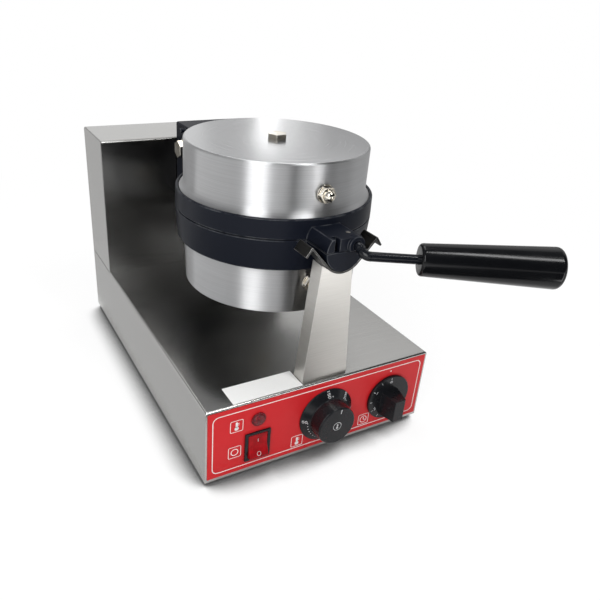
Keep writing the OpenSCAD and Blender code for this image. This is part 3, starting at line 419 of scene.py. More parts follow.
def sheet_steel_material(colour, name="Brushed sheet steel", roughness=(0.20, 0.26)):
    """Brushed stainless sheet with fine lines, soft smudges, bright edges that are partly scuffing
    and partly painted highlight, and painted shade before the tower.
    """
    material, tree, into = new_material(name, Metallic=1.0, Anisotropic=0.35)
    lines = use_effect(tree, brushed_lines(), Fineness=28.0)["Lines"]
    smudge = grained(tree, grain=900.0, smudge=14.0)["Smudge"]
    base = blend_colour(tree, lines, scaled(colour, 0.90), colour)
    base = blend_colour(tree, times(tree, smudge, 0.03), base, (0.45, 0.44, 0.43))
    # painted highlight, with some scuffing: the rounded edges are lightened toward pale steel
    base = blend_colour(tree, edge_wear_and_highlight(tree, amount=0.5, scale=45.0), base, (0.78, 0.77, 0.75))
    # painted shade: the steel at and before the tower's front is darkened toward near black
    painted_shade = use_effect(tree, tower_front_painted_shade(), Middle=PAINTED_SHADE_MIDDLE)["Mask"]
    base = blend_colour(tree, times(tree, painted_shade, 0.76), base, (0.012, 0.011, 0.010))
    uneven = maths(tree, "ADD", times(tree, lines, 0.9), times(tree, smudge, 0.1))
    rough = remap(tree, uneven, *roughness)
    wire_up(tree, into, base, rough, lines, distance=0.000002, strength=0.3)
    return material


def turned_steel(
    name, low, high, fineness, scales, soil, share, rough, depth, strength, **constants
):
    """Steel with fine lines round the drum's axis under soft smudges."""
    material, tree, into = new_material(name, Metallic=1.0, **constants)
    lines = use_effect(tree, turned_lines(), Middle=SEAM_MIDDLE, Fineness=fineness)["Lines"]
    smudge = grained(tree, *scales)["Smudge"]
    base = blend_colour(tree, lines, low, high)
    base = blend_colour(tree, times(tree, smudge, share), base, soil)
    wire_up(tree, into, base, remap(tree, lines, *rough), lines, depth, strength)
    return material, tree, into


def drum_end_material(colour):
    """Polished flat end of a drum cover, with faint turning marks."""
    return turned_steel(
        "Polished drum end", scaled(colour, 0.95), colour, fineness=1300.0, scales=(900.0, 20.0),
        soil=(0.46, 0.45, 0.44), share=0.05, rough=(0.22, 0.28), depth=0.000002, strength=0.3,
    )[0]


def spun_steel_material(colour):
    """Spun and turned stainless of the drum covers, with lines round the drum."""
    material, tree, into = turned_steel(
        "Spun drum steel", scaled(colour, 0.86), scaled(colour, 1.06), fineness=1500.0,
        scales=(700.0, 18.0), soil=(0.46, 0.44, 0.42), share=0.10, rough=(0.40, 0.46),
        depth=0.00001, strength=0.25, Anisotropic=1.0, Anisotropic_Rotation=0.25,
    )
    around = add_node(tree, "Tangent", direction_type="RADIAL", axis="Z")
    connect(tree, around.outputs[0], into["Tangent"])
    return material


def casting_material(colour):
    """Satin painted casting with a faint orange peel and bright edges, partly scuffed and partly a
    painted highlight.
    """
    material, tree, into = new_material(
        "Painted casting", Coat_Roughness=0.2, Specular_IOR_Level=0.06
    )
    grain = grained(tree, grain=850.0, smudge=9.0)
    wear_and_highlight = edge_wear_and_highlight(tree, amount=0.55, scale=70.0)
    base = blend_colour(tree, grain["Smudge"], colour, scaled(colour, 1.12))
    # painted highlight, with some scuffing: the rounded edges of the casting are lightened
    base = blend_colour(tree, wear_and_highlight, base, (0.10, 0.105, 0.112))
    rough = maths(tree, "ADD", remap(tree, grain["Smudge"], 0.34, 0.38), times(tree, wear_and_highlight, 0.1))
    connect(tree, remap(tree, grain["Smudge"], 0.03, 0.015), into["Coat Weight"])
    wire_up(tree, into, base, rough, grain["Grain"], distance=0.00003, strength=0.3)
    return material


def grained_material(
    name, light, dark, rough, scales, depth, strength, shade="Smudge", wear_and_highlight=None, vary=(),
    **constants
):
    """A finish with grain and smudges. wear_and_highlight: amount, scale and colour of edges partly
    scuffed, partly painted highlight.
    """
    material, tree, into = new_material(name, **constants)
    grain = grained(tree, *scales)
    base = blend_colour(tree, grain[shade], light, dark)
    if wear_and_highlight:
        amount, scale, worn_and_highlit = wear_and_highlight
        base = blend_colour(tree, edge_wear_and_highlight(tree, amount, scale), base, worn_and_highlit)
    for socket, low, high in vary:
        connect(tree, remap(tree, grain["Smudge"], low, high), into[socket])
    rough = remap(tree, grain["Smudge"], *rough)
    wire_up(tree, into, base, rough, grain["Grain"], depth, strength)
    return material


def nickel_material(colour, name="Nickel plated hardware", low=0.12):
    """Plated hardware with a light tarnish and fine scratches."""
    return grained_material(
        name, colour, scaled(colour, 0.72, 0.68, 0.60), rough=(low, low + 0.16),
        scales=(1600.0, 160.0), depth=0.00003, strength=0.25,
        wear_and_highlight=(0.6, 200.0, (0.82, 0.80, 0.76)), Metallic=1.0,
    )


def moulding_material(colour, name="Black moulding", rough=(0.22, 0.32), coat=0.14):
    """Moulded plastic with a fine spark texture and finger marks in its gloss."""
    return grained_material(
        name, colour, scaled(colour, 1.25), rough, scales=(1500.0, 55.0), depth=0.00004,
        # the rounded edges are lightened, partly as scuffing and partly as painted highlight
        strength=0.25, wear_and_highlight=(0.35, 120.0, scaled(colour, 2, lift=0.012)),
        vary=(("Coat Weight", coat, coat * 0.6),), Coat_Roughness=0.12, Specular_IOR_Level=0.18,
    )


def ink_material(colour, name="Printed ink"):
    """Screen-printed ink, slightly uneven in its cover."""
    return grained_material(
        name, colour, scaled(colour, 0.86), rough=(0.42, 0.55), scales=(2600.0, 120.0),
        depth=0.00001, strength=0.3, shade="Grain", Specular_IOR_Level=0.4,
    )


def rocker_material(colour):
    """Clear red plastic of the rocker, deeper in broad soft patches."""
    return grained_material(
        "Clear red rocker", colour, scaled(colour, 0.6), rough=(0.16, 0.26),
        scales=(1400.0, 180.0), depth=0.00003, strength=0.2,
        Coat_Weight=0.03, Coat_Roughness=0.08, Specular_IOR_Level=0.1,
    )


def iron_material():
    """Seasoned cast iron of the baking plates."""
    return grained_material(
        "Seasoned baking iron", (0.016, 0.014, 0.013), (0.050, 0.040, 0.032), rough=(0.34, 0.52),
        scales=(650.0, 45.0), depth=0.00025, strength=0.5,
        wear_and_highlight=(0.5, 90.0, (0.13, 0.12, 0.11)), vary=(("Metallic", 0.55, 0.25),),
        Specular_IOR_Level=0.6,
    )


def film_material(colour):
    """Printed polyester film with a fine texture and a soft sheen."""
    material, tree, into = new_material("Panel film", Coat_Roughness=0.3, Specular_IOR_Level=0.25)
    grain = grained(tree, grain=2200.0, smudge=12.0)
    base = blend_colour(tree, grain["Smudge"], colour, scaled(colour, 0.9))
    speck = times(tree, grain["Grain"], 0.18)
    base = blend_colour(tree, speck, base, scaled(colour, 1.2, lift=0.01))
    rough = remap(tree, grain["Smudge"], 0.36, 0.46)
    wire_up(tree, into, base, rough, grain["Grain"], distance=0.00003, strength=0.3)
    return material


def lamp_material(colour):
    """Dark red lens with a pressed pattern of small pyramids, its colour lighter on each tip and
    darker between them as painted highlight and shade.
    """
    material, tree, into = new_material(
        "Red lamp lens", Coat_Weight=0.12, Coat_Roughness=0.1, Specular_IOR_Level=0.3
    )
    cells = add_node(
        tree, "TexVoronoi", {"Vector": place_on_piece(tree), "Scale": 620.0},
        feature="F1", distance="MANHATTAN",
    )
    height = remap(tree, cells.outputs["Distance"], 1, 0, start=0, end=0.8)
    # painted highlight on the pyramid tips and painted shade between them
    base = blend_colour(tree, height, scaled(colour, 0.5), scaled(colour, 2.2))
    rough = remap(tree, height, 0.3, 0.14)
    wire_up(tree, into, base, rough, height, distance=0.0004, strength=0.8)
    return material


def matt_material(name, light, dark, roughness, scale, depth, metallic=0.0):
    """Plain uneven finish: wool, ceramic, bronze, rubber, sleeve or white plastic."""
    material, tree, into = new_material(name, Metallic=metallic)
    grain = grained(tree, grain=scale, smudge=scale / 12)
    mixed = maths(tree, "ADD", times(tree, grain["Grain"], 0.5), times(tree, grain["Smudge"], 0.5))
    rough = remap(tree, grain["Smudge"], *roughness)
    base = blend_colour(tree, mixed, light, dark)
    wire_up(tree, into, base, rough, grain["Grain"], distance=depth, strength=0.6)
    return material


# name, light and dark colour, lowest and highest roughness, grain scale, bump depth, metallic
MATT_FINISHES = {
    "wool": ("Mineral wool", (0.62, 0.55, 0.36), (0.36, 0.30, 0.18), (0.9, 1.0), 500.0, 0.0012),
    "ceramic": (
        "Glazed ceramic", (0.78, 0.76, 0.70), (0.62, 0.59, 0.52), (0.28, 0.42), 700.0, 0.00005
    ),
    "bronze": (
        "Sintered bronze", (0.60, 0.36, 0.16), (0.36, 0.20, 0.09), (0.34, 0.5), 1500.0, 0.00008, 1.0
    ),
    "white": ("White plastic", (0.80, 0.80, 0.78), (0.68, 0.68, 0.65), (0.36, 0.5), 900.0, 0.00003),
    "sleeve": (
        "Glass-fibre sleeve", (0.70, 0.66, 0.54), (0.46, 0.42, 0.32), (0.7, 0.9), 1400.0, 0.0003
    ),
    "rubber": (
        "Foot rubber", (0.022, 0.022, 0.023), (0.009, 0.009, 0.010), (0.6, 0.8), 900.0, 0.00008
    ),
}


def finish(name):
    """The material of that finish, made when it is first asked for."""
    for material in bpy.data.materials:
        if material.get("finish") == name:
            return material
    chosen = bpy.context.scene.iron_finish
    own = {key: tuple(getattr(chosen, key)) for key in IronFinish.__annotations__}
    # painted shade: the saddle strip's steel is darkened to 7 % of the sheet's colour
    post, strip = scaled(own["steel"], 1.12, 1.10, 1.07), scaled(own["steel"], 0.07)
    grip, rod = scaled(own["moulding"], 0.5), (0.0045, 0.0055, 0.008)
    makers = {
        "sheet": (sheet_steel_material, own["steel"]),
        "post": (sheet_steel_material, post, "Brushed post steel", (0.32, 0.40)),
        "strip": (sheet_steel_material, strip, "Darkened strip steel", (0.26, 0.34)),
        "spun": (spun_steel_material, own["drum"]),
        "drum_end": (drum_end_material, own["drum"]),
        "casting": (casting_material, own["casting"]),
        "nickel": (nickel_material, own["nickel"]),
        "ground": (nickel_material, (0.56, 0.56, 0.56), "Ground steel", 0.24),
        "moulding": (moulding_material, own["moulding"]),
        "grip": (moulding_material, grip, "Grip plastic", (0.14, 0.20), 0.07),
        "rod": (moulding_material, rod, "Black rod enamel", (0.16, 0.22), 0.16),
        "film": (film_material, own["film"]),
        "ink": (ink_material, own["ink"]),
        "grey_ink": (ink_material, (0.50, 0.51, 0.52), "Dial marking ink"),
        "label": (ink_material, (0.86, 0.86, 0.85), "Blank white label"),
        "rocker": (rocker_material, own["rocker"]),
        "lamp": (lamp_material, own["lamp"]),
        "iron": (iron_material,),
    }
    maker, *given = makers.get(name) or (matt_material, *MATT_FINISHES[name])
    material = maker(*given)
    material["finish"] = name
    return material


# ---- mesh building


def mesh_of(shape, name):
    """Turns a bmesh into a mesh and frees it."""
    mesh = bpy.data.meshes.new(name)
    shape.to_mesh(mesh)
    shape.free()
    return mesh


def new_object(name, data):
    """Links new object data to the scene."""
    made = bpy.data.objects.new(name, data)
    bpy.context.scene.collection.objects.link(made)
    return made


def new_piece(name, mesh, body, finish_name):
    """Links a mesh as a piece that rides a body, with its finish and material slot."""
    piece = new_object(name, mesh)
    mesh.materials.clear()
    mesh.materials.append(finish(finish_name))
    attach(piece, body)
    return piece


def smooth_by_angle(mesh, degrees):
    """Smooth shading that breaks at edges sharper than the angle."""
    mesh.polygons.foreach_set("use_smooth", [True] * len(mesh.polygons))
    mesh.set_sharp_from_angle(angle=radians(degrees))
    mesh.update()


SAME_CORNER = 2e-6
SAME_FLAT = radians(0.4)
SHARP = radians(28.0)
LEVEL = 0.97  # a face normal this upright belongs to a flat end


def dressed(node, finish_name, edge, segments=2, smooth=34.0):
    """Stands in for a node: the same shape with its flats merged and its edges rounded."""
    source = CAD_NODES[node]
    rounded = bmesh.new()
    rounded.from_mesh(source.data)
    bmesh.ops.remove_doubles(rounded, verts=rounded.verts, dist=SAME_CORNER)
    bmesh.ops.dissolve_limit(
        rounded, angle_limit=SAME_FLAT, verts=rounded.verts, edges=rounded.edges
    )
    mark = rounded.faces.layers.float.new("rounded_edge")
    creases = [
        e for e in rounded.edges if len(e.link_faces) == 2 and e.calc_face_angle(0.0) > SHARP
    ]
    if edge > 0 and creases:
        made = bmesh.ops.bevel(
            rounded, geom=creases, offset=edge, offset_type="OFFSET", segments=segments,
            profile=0.5, affect="EDGES", clamp_overlap=False,
        )
        for face in made["faces"]:
            face[mark] = 1.0
    mesh = mesh_of(rounded, node + "_dressed")
    smooth_by_angle(mesh, smooth)
    piece = new_piece(node + "_dressed", mesh, source["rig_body"], finish_name)
    even = piece.modifiers.new("Even shading", "WEIGHTED_NORMAL")
    even.keep_sharp = True
    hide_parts(node)
    return piece


def dress(nodes, finish_name, edge, **more):
    """Dresses the nodes of a text of names alike."""
    for node in nodes.split():
        dressed(node, finish_name, edge, **more)


def spread(start, end, steps):
    """Even steps from one number to another."""
    return [start + (end - start) * i / steps for i in range(steps + 1)]


def arc(x, y, radius, start, end, steps):
    """Points of an arc about (x, y), angles in degrees."""
    turns = [radians(angle) for angle in spread(start, end, steps)]
    return [(x + radius * cos(a), y + radius * sin(a)) for a in turns]


def turned(name, profile, origin, segments):
    """Mesh of a closed profile of (radius, height) points turned about the vertical axis."""
    shape = bmesh.new()
    rings = []
    for radius, height in profile:
        turns = [tau * i / segments for i in range(segments if radius else 1)]
        rings.append([
            shape.verts.new(Vector(origin) + Vector((radius * cos(a), radius * sin(a), height)))
            for a in turns
        ])
    for low, high in zip(rings, rings[1:] + rings[:1]):
        for i in range(segments):
            j = (i + 1) % segments
            ways = ((low, i), (low, j), (high, j), (high, i))
            corners = list(dict.fromkeys(ring[k % len(ring)] for ring, k in ways))
            if len(corners) > 2:
                shape.faces.new(corners)
    bmesh.ops.recalc_face_normals(shape, faces=shape.faces)
    mesh = mesh_of(shape, name)
    smooth_by_angle(mesh, degrees=30)
    return mesh


# strokes of the digits, one high and 0.6 wide, and the way from one digit to the next
DIGITS = {
    "0": (
        (0, 0.25), (0, 0.75), (0.2, 1), (0.4, 1), (0.6, 0.75), (0.6, 0.25), (0.4, 0), (0.2, 0),
        (0, 0.25),
    ),
    "1": ((0.1, 0.8), (0.32, 1), (0.32, 0)),
    "2": ((0, 0.8), (0.2, 1), (0.45, 1), (0.6, 0.78), (0.5, 0.5), (0, 0), (0.6, 0)),
    "3": ((0, 1), (0.6, 1), (0.28, 0.6), (0.6, 0.35), (0.45, 0), (0.15, 0), (0, 0.15)),
    "4": ((0.45, 0), (0.45, 1), (0, 0.3), (0.62, 0.3)),
    "5": ((0.56, 1), (0.06, 1), (0, 0.55), (0.4, 0.6), (0.6, 0.35), (0.42, 0), (0, 0.04)),
}
DIGIT_STEP, DIGIT_GAP = 0.85, 0.25
LEAST_MITRE = 0.4  # keeps the corner of a sharp bend from running out


class Print:
    """Flat printed marks, gathered as polygons on a panel or a dial."""

    def __init__(self, place):
        self.place = place
        self.shape = bmesh.new()

    def vert(self, point):
        """A corner of a mark."""
        return self.shape.verts.new(self.place(*point))

    def area(self, points):
        """A filled outline."""
        self.shape.faces.new([self.vert(point) for point in points])

    def stroke(self, points, width, closed=False):
        """A line of even width through the points."""
        points = [Vector(p) for p in points]
        count = len(points)
        onward = [(b - a).normalized() for a, b in zip(points, points[1:] + points[:1])]
        left, right = [], []
        for i, point in enumerate(points):
            ways = [onward[i - 1]] if closed or i else []
            if closed or i < count - 1:
                ways.append(onward[i])
            way = sum(ways, Vector((0, 0))).normalized()
            across = Vector((-way.y, way.x))
            stretch = 1 / max(LEAST_MITRE, abs(way.dot(ways[0])))
            aside = across * width / 2 * stretch
            left.append(self.vert(point + aside))
            right.append(self.vert(point - aside))
        for i in range(count if closed else count - 1):
            j = (i + 1) % count
            self.shape.faces.new((right[i], right[j], left[j], left[i]))

    def tick(self, angle, inner, outer, width):
        """A line out from the middle."""
        a = radians(angle)
        self.stroke([(r * cos(a), r * sin(a)) for r in (inner, outer)], width)

    def ring(self, x, y, radius, width, steps=40):
        """A ring."""
        self.stroke(arc(x, y, radius, 0, 360, steps)[:-1], width, closed=True)

    def dot(self, x, y, radius, steps=20):
        """A filled disc."""
        self.area(arc(x, y, radius, 0, 360, steps)[:-1])

    def frame(self, x0, y0, x1, y1, radius, width):
        """An outlined rectangle with round corners."""
        left, right, low, high = x0 + radius, x1 - radius, y0 + radius, y1 - radius
        corners = ((right, low, -90), (right, high, 0), (left, high, 90), (left, low, 180))
        points = []
        for x, y, start in corners:
            points += arc(x, y, radius, start, start + 90, 8)
        self.stroke(points, width, closed=True)

    def radial(self, text, angle, radius, height, width):
        """Small stroked digits along the radius, upright on the left and the right."""
        a = radians(angle)
        turn = a if -90 < angle < 89 else a + pi
        x, y = radius * cos(a), radius * sin(a)
        start = -(DIGIT_STEP * len(text) - DIGIT_GAP) / 2
        for i, char in enumerate(text):
            placed = []
            for px, py in DIGITS[char]:
                u, v = (start + DIGIT_STEP * i + px) * height, (py - 0.5) * height
                along, up = u * cos(turn) - v * sin(turn), u * sin(turn) + v * cos(turn)
                placed.append((x + along, y + up))
            self.stroke(placed, width)

    def thermometer(self, x, z, size):
        """A small thermometer sign."""
        self.dot(x, z - 3.2 * size, 2.5 * size, 16)
        stem = ((-1.3, -2.0), (1.3, -2.0), (1.3, 4.4), (0.7, 5.2), (-0.7, 5.2), (-1.3, 4.4))
        self.area([(x + px * size, z + pz * size) for px, pz in stem])
        for step in (1.2, 3.2):
            level = z + step * size
            self.stroke([(x + 1.3 * size, level), (x + 3.2 * size, level)], 0.7 * size)

    def finish(self, name, body, finish_name):
        """Turns the gathered marks into a piece."""
        return new_piece(name, mesh_of(self.shape, name), body, finish_name)


def on_face(node):
    """Places marks, in millimetres about a node's middle, just before its front."""
    centre = middle(node)
    surface = BVHTree.FromPolygons(
        [v.co for v in CAD_NODES[node].data.vertices],
        [tuple(p.vertices) for p in CAD_NODES[node].data.polygons],
    )
    before_all, lift = CAD_BOX[0].y - 0.05, 0.04 * MM

    def place(x, z):
        start = Vector((centre.x + x * MM, before_all, centre.z + z * MM))
        hit = surface.ray_cast(start, Vector((0, 1, 0)))[0]
        if hit is None:
            raise ValueError(f"a mark at {x:.1f}, {z:.1f} misses {node}")
        return hit - Vector((0, lift, 0))

    return place


# ---- operators


class IronOperator(Operator):
    """Shared options of the waffle iron's operators."""

    bl_options = {"REGISTER", "UNDO"}

    @property
    def form(self):
        """The form settings."""
        return bpy.context.scene.iron_form


class WAFFLE_OT_case(IronOperator):
    """Dress the base box, the tower and their covers in brushed sheet, and their feet in rubber"""

    bl_idname = "waffle.case"
    bl_label = "Base and tower"

    def execute(self, context):
        edge = self.form.sheet_edge
        dress("base_shell tower_shell back_cover", "sheet", edge, smooth=40)
        dressed("bottom_plate", "sheet", edge)
        dressed("rubber_feet", "rubber", edge=0.0006)
        dressed("case_screws", "nickel", edge=0.0002)
        dressed("cord_gland", "moulding", self.form.moulding_edge / 2)
        dressed("gland_nut", "moulding", self.form.moulding_edge)
        self.side_seams()
        return {"FINISHED"}

    def side_seams(self):
        """The dark gap that runs back between the base and the tower on both sides."""
        lo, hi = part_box("tower_shell")
        wide, proud = 0.35 * MM, 0.04 * MM
        sides = ((0, 1, 2, 3), (7, 6, 5, 4), (0, 4, 5, 1), (1, 5, 6, 2), (2, 6, 7, 3), (3, 7, 4, 0))
        seam = bmesh.new()
        for side, out in ((lo.x, -proud), (hi.x, proud)):
            corners = [
                seam.verts.new((side + dx, y, lo.z + dz))
                for dx in (out, -4 * out)
                for y, dz in ((lo.y, -wide), (hi.y, -wide), (hi.y, wide), (lo.y, wide))
            ]
            for face in sides:
                seam.faces.new([corners[i] for i in face])
        bmesh.ops.recalc_face_normals(seam, faces=seam.faces)
        new_piece("side_seams", mesh_of(seam, "side_seams"), "base", "rubber")


class WAFFLE_OT_saddle(IronOperator):
    """Dress the front post, its saddle strip and their bolts"""

    bl_idname = "waffle.saddle"
    bl_label = "Post and saddle"

    def execute(self, context):
        dressed("post", "post", edge=0.0004, segments=3)
        dressed("saddle", "strip", edge=0.00035, segments=3)
        dressed("post_bolts", "nickel", self.form.hardware_edge)
        return {"FINISHED"}


class WAFFLE_OT_castings(IronOperator):
    """Dress the rings, the hinge box and the bearing in painted casting"""

    bl_idname = "waffle.castings"
    bl_label = "Castings"

    def execute(self, context):
        castings = "upper_ring lower_ring hinge_box bearing_housing"
        dress(castings, "casting", self.form.casting_edge, segments=3, smooth=38)
        dressed("box_cover", "casting", edge=0.0004, segments=3, smooth=38)
        return {"FINISHED"}


class WAFFLE_OT_drums(IronOperator):
    """Spin the two drum covers"""

    bl_idname = "waffle.drums"
    bl_label = "Drum covers"

    def execute(self, context):
        for node, body, up in (("upper_drum", "lid", 1), ("lower_drum", "head", -1)):
            lo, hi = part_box(node)
            root = lo.z if up > 0 else hi.z
            outline = self.outline((hi.x - lo.x) / 2, hi.z - lo.z, 0 if up > 0 else 2 * MM)
            profile = [(radius, height * up) for radius, height in outline]
            mesh = turned(
                node + "_spun", profile, (HEAD.x, HEAD.y, root), self.form.turned_segments
            )
            piece = new_piece(node + "_spun", mesh, body, "spun")
            mesh.materials.append(finish("drum_end"))
            for face in mesh.polygons:
                if abs(face.normal.z) > LEVEL:
                    face.material_index = 1
            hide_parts(node)
        return {"FINISHED"}

    def outline(self, rim, top, drawn_in):
        """Wall and flare of a cover that stands on its rim, as (radius, height) points."""
        wall, corner, sheet = rim - 3 * MM, 2.2 * MM, 1 * MM
        x, y = wall - drawn_in - corner, top - corner
        flare = [(rim, 0), (rim, 5.6 * MM)] + [
            (wall + 4.2 * MM * (1 - s) ** 2.3, (6.1 + 8.4 * s) * MM)
            for s in (0, 0.06, 0.14, 0.26, 0.42, 0.65, 1)
        ]
        outer = flare + arc(x, y, corner, 0, 90, 10) + [(0.02, top), (0, top)]
        inner = [(0, top - sheet)] + arc(x, y, corner - sheet, 90, 0, 6)
        return outer + inner + [(a - sheet, b) for a, b in reversed(flare)]


class WAFFLE_OT_hardware(IronOperator):
    """Dress the nuts, bolts, washers, shaft and brackets in nickel plate"""

    bl_idname = "waffle.hardware"
    bl_label = "Nuts and bolts"

    def execute(self, context):
        nuts = (
            "upper_drum_nuts lower_drum_nuts upper_centre_bolt lower_centre_bolt hinge_bolts "
            "housing_bolts flange_bolts bracket_bolts cover_screws rod_screw"
        )
        dress(nuts, "nickel", self.form.hardware_edge, smooth=30)
        steel = "trunnion_shaft stop_collar upper_brackets lower_brackets upper_clamp lower_clamp"
        dress(steel, "ground", self.form.hardware_edge)
        return {"FINISHED"}


class WAFFLE_OT_handle(IronOperator):
    """Dress the grip and the bent rod"""

    bl_idname = "waffle.handle"
    bl_label = "Handle"

    def execute(self, context):
        dressed("handle_rod", "rod", edge=0.0003, smooth=45)
        dressed("handle_grip", "grip", edge=0.0003, smooth=40)
        return {"FINISHED"}


class WAFFLE_OT_dials(IronOperator):
    """Dress the two dials and print their scales"""

    bl_idname = "waffle.dials"
    bl_label = "Dials"

    def execute(self, context):
        edge = self.form.moulding_edge
        dressed("thermostat_knob", "moulding", edge, segments=3)
        self.draw_in_bar(dressed("timer_knob", "moulding", edge / 2, segments=3))
        dress("thermostat_spindle timer_spindle", "ground", edge=0.0002)
        dress("thermostat_body timer_body", "white", edge=0.0004)
        dressed("panel_nuts", "nickel", self.form.hardware_edge)
        self.thermostat_scale()
        self.timer_scale()
        return {"FINISHED"}

    def draw_in_bar(self, knob):
        """Draws the lower end of the timer's bar grip in toward the disc's middle."""
        centre, front = middle("timer_knob"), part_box("timer_knob")[0].y
        low_end, disc, bar_depth, draw = -15 * MM, 25.2 * MM, 8 * MM, 4 * MM
        for vert in knob.data.vertices:
            x, z = vert.co.x - centre.x, vert.co.z - centre.z
            if z < low_end and (hypot(x, z) < disc or vert.co.y < front + bar_depth):
                vert.co.z += draw

    def thermostat_scale(self):
        """Temperatures and dots on the skirt, a pointer and a thermometer on the grip."""
        marks = Print(on_face("thermostat_knob"))
        for text, angle in (("50", 178), ("150", 93), ("200", 45), ("250", -2), ("300", -48)):
            marks.radial(text, angle, radius=26.4, height=2.7, width=0.5)
        dots = 23.9
        for angle in (181.5, 190, 199, 208, 217, 226, 235, 84, 36, -11):
            a = radians(angle)
            marks.dot(dots * cos(a), dots * sin(a), radius=0.5, steps=8)
        marks.tick(80, inner=14.5, outer=18.8, width=0.9)
        marks.ring(0, 0, radius=4.4, width=0.55)
        marks.thermometer(0, 0, size=0.5)
        marks.finish("thermostat_scale", "thermostat_dial", "grey_ink")

    def timer_scale(self):
        """Minutes and ticks round the timer's disc."""
        marks = Print(on_face("timer_knob"))
        for text, angle in (("0", 90), ("1", 150), ("2", 210), ("4", -30)):
            marks.radial(text, angle, radius=19.3, height=2.9, width=0.55)
            marks.tick(angle, inner=21.6, outer=24.4, width=0.6)
        for angle in (120, 180, 238, -58):
            marks.tick(angle, inner=21.4, outer=24.0, width=0.6)
        marks.finish("timer_scale", "timer_dial", "grey_ink")


class WAFFLE_OT_switch(IronOperator):
    """Dress the rocker switch and the heating lamp"""

    bl_idname = "waffle.switch"
    bl_label = "Switch and lamp"

    def execute(self, context):
        dressed("switch_body", "moulding", edge=0.0004)
        dressed("rocker", "rocker", edge=0.0005, segments=3)
        dressed("lamp_body", "lamp", edge=0.0003)
        dressed("lamp_lens", "lamp", edge=0.0002)
        marks = Print(on_face("rocker"))
        marks.stroke([(0, 4.6), (0, 8.2)], width=0.5)
        marks.ring(0, -7.4, radius=1.9, width=0.45, steps=24)
        marks.finish("rocker_signs", "rocker_switch", "grey_ink")
        return {"FINISHED"}


class WAFFLE_OT_panel_print(IronOperator):
    """Lay the control film, its printed border and signs, and the blank label"""

    bl_idname = "waffle.panel_print"
    bl_label = "Control film"

    def execute(self, context):
        dressed("control_film", "film", edge=0.00012)
        dressed("name_label", "label", edge=0.00015)
        self.border()
        return {"FINISHED"}

    def border(self):
        """The border line and the framed signs, in millimetres from the film's lower left."""
        wide, high = (FILM_HI.x - FILM_LO.x) / MM, (FILM_HI.z - FILM_LO.z) / MM
        before = FILM_LO.y - 0.03 * MM
        ink = Print(lambda x, z: Vector((FILM_LO.x + x * MM, before, FILM_LO.z + z * MM)))
        inset = 5
        line = self.form.line_width / MM
        ink.frame(inset, inset, wide - inset, high - inset, radius=6, width=line)
        heat, power, lit, time = (28.5, 54.2), (27.3, 24.0), (95.1, 13.3), (175.4, 13.3)
        half = 6.3
        for x, z in (heat, power, lit, time):
            ink.frame(x - half, z - half, x + half, z + half, radius=1.4, width=0.6)
        ink.thermometer(*heat, size=0.85)
        ink.thermometer(*lit, size=0.85)
        ink.ring(*power, radius=3.5, width=0.8)
        ink.ring(*time, radius=3.9, width=0.7)
        ink.stroke([(175.4, 16.0), time, (177.5, 12.0)], width=0.7)
        timer = (middle("timer_knob").x - FILM_LO.x) / MM
        ink.dot(timer - 0.2, 65.9, radius=0.9)
        ink.finish("panel_border", "base", "ink")


class WAFFLE_OT_plates(IronOperator):
    """Season the waffle plates and finish the heaters and insulation"""

    bl_idname = "waffle.plates"
    bl_label = "Plates and heaters"

    def execute(self, context):
        dress("upper_plate lower_plate", "iron", edge=0.0005)
        dress("upper_heater lower_heater lower_conduit", "ground", edge=0)
        dress("upper_wool lower_wool", "wool", edge=0.001)
        dressed("bearing_bush", "bronze", edge=0.0003)
        dressed("thrust_washer", "white", edge=0.0003)
        dressed("terminal_block", "ceramic", edge=0.0006)
        dressed("wire_loom", "sleeve", edge=0)
        return {"FINISHED"}


# ---- studio

WHITE = (1.0, 1.0, 1.0)
CARD_DISTANCE = 1.9
FLOOR_CARD_RADII = (0.50, 5.0)

# name, azimuths, elevations and grey of the cards round the head
CARDS = (
    ("front_dark_card", (-18, 75), (3, 48), 0.015),
    ("front_left_card", (-80, -18), (3, 52), 0.28),
    ("left_grey_card", (-170, -80), (3, 52), 0.42),
    ("back_strip_card", (150.3, 153.0), (2, 21), 2.2),
    ("back_bright_card", (160.0, 190), (2, 52), 0.90),
    ("back_left_card", (153.0, 160.0), (2, 52), 0.56),
    ("back_near_card", (147.3, 150.3), (2, 21), 1.0),
    ("back_mid_card", (144.5, 147.3), (2, 21), 0.66),
    ("back_right_card", (75, 144.5), (2, 21), 0.41),
    ("back_high_card", (75, 153.0), (21, 52), 0.80),
    ("front_top_card", (-18, 75), (48, 90), 0.18),
    ("top_card", (75, 342), (52, 90), 0.18),
)

# name, azimuths and grey of the sectors round the foot
FLOOR_CARDS = (
    ("floor_back_left", (-180, -138), 0.60),
    ("floor_left", (-138, -66), 1.5),
    ("floor_band_left", (-66, -36), 1.75),
    ("floor_mid_left", (-36, -12), 1.95),
    ("floor_mid", (-12, 15), 0.05),
    ("floor_band_right", (15, 28), 4.8),
    ("floor_mid_right", (28, 55), 0.62),
    ("floor_right", (55, 180), 0.55),
)

# name, azimuth, elevation, distance, width, height and power setting of the soft boxes
LAMPS = (
    ("key_softbox", -50, 30, 1.6, 0.62, 1.2, "key_power"),
    ("fill_softbox", 21, 56, 1.6, 0.24, 0.8, "fill_power"),
    ("top_softbox", 160, 68, 1.5, 0.9, 0.9, "top_power"),
)


def way_out(azimuth, elevation):
    """A direction out from the head. Azimuth 0 is in front, and 90 to the right."""
    a, e = radians(azimuth), radians(elevation)
    return Vector((sin(a) * cos(e), -cos(a) * cos(e), sin(e)))


def on_dome(azimuth, elevation):
    """A point of the cards round the head, never below the floor."""
    point = SEAM_MIDDLE + way_out(azimuth, elevation) * CARD_DISTANCE
    return point.x, point.y, max(point.z, 0.002)


def over_floor(azimuth, radius):
    """A point just above the floor round the head."""
    a = radians(azimuth)
    return HEAD.x + sin(a) * radius, HEAD.y - cos(a) * radius, 0.003


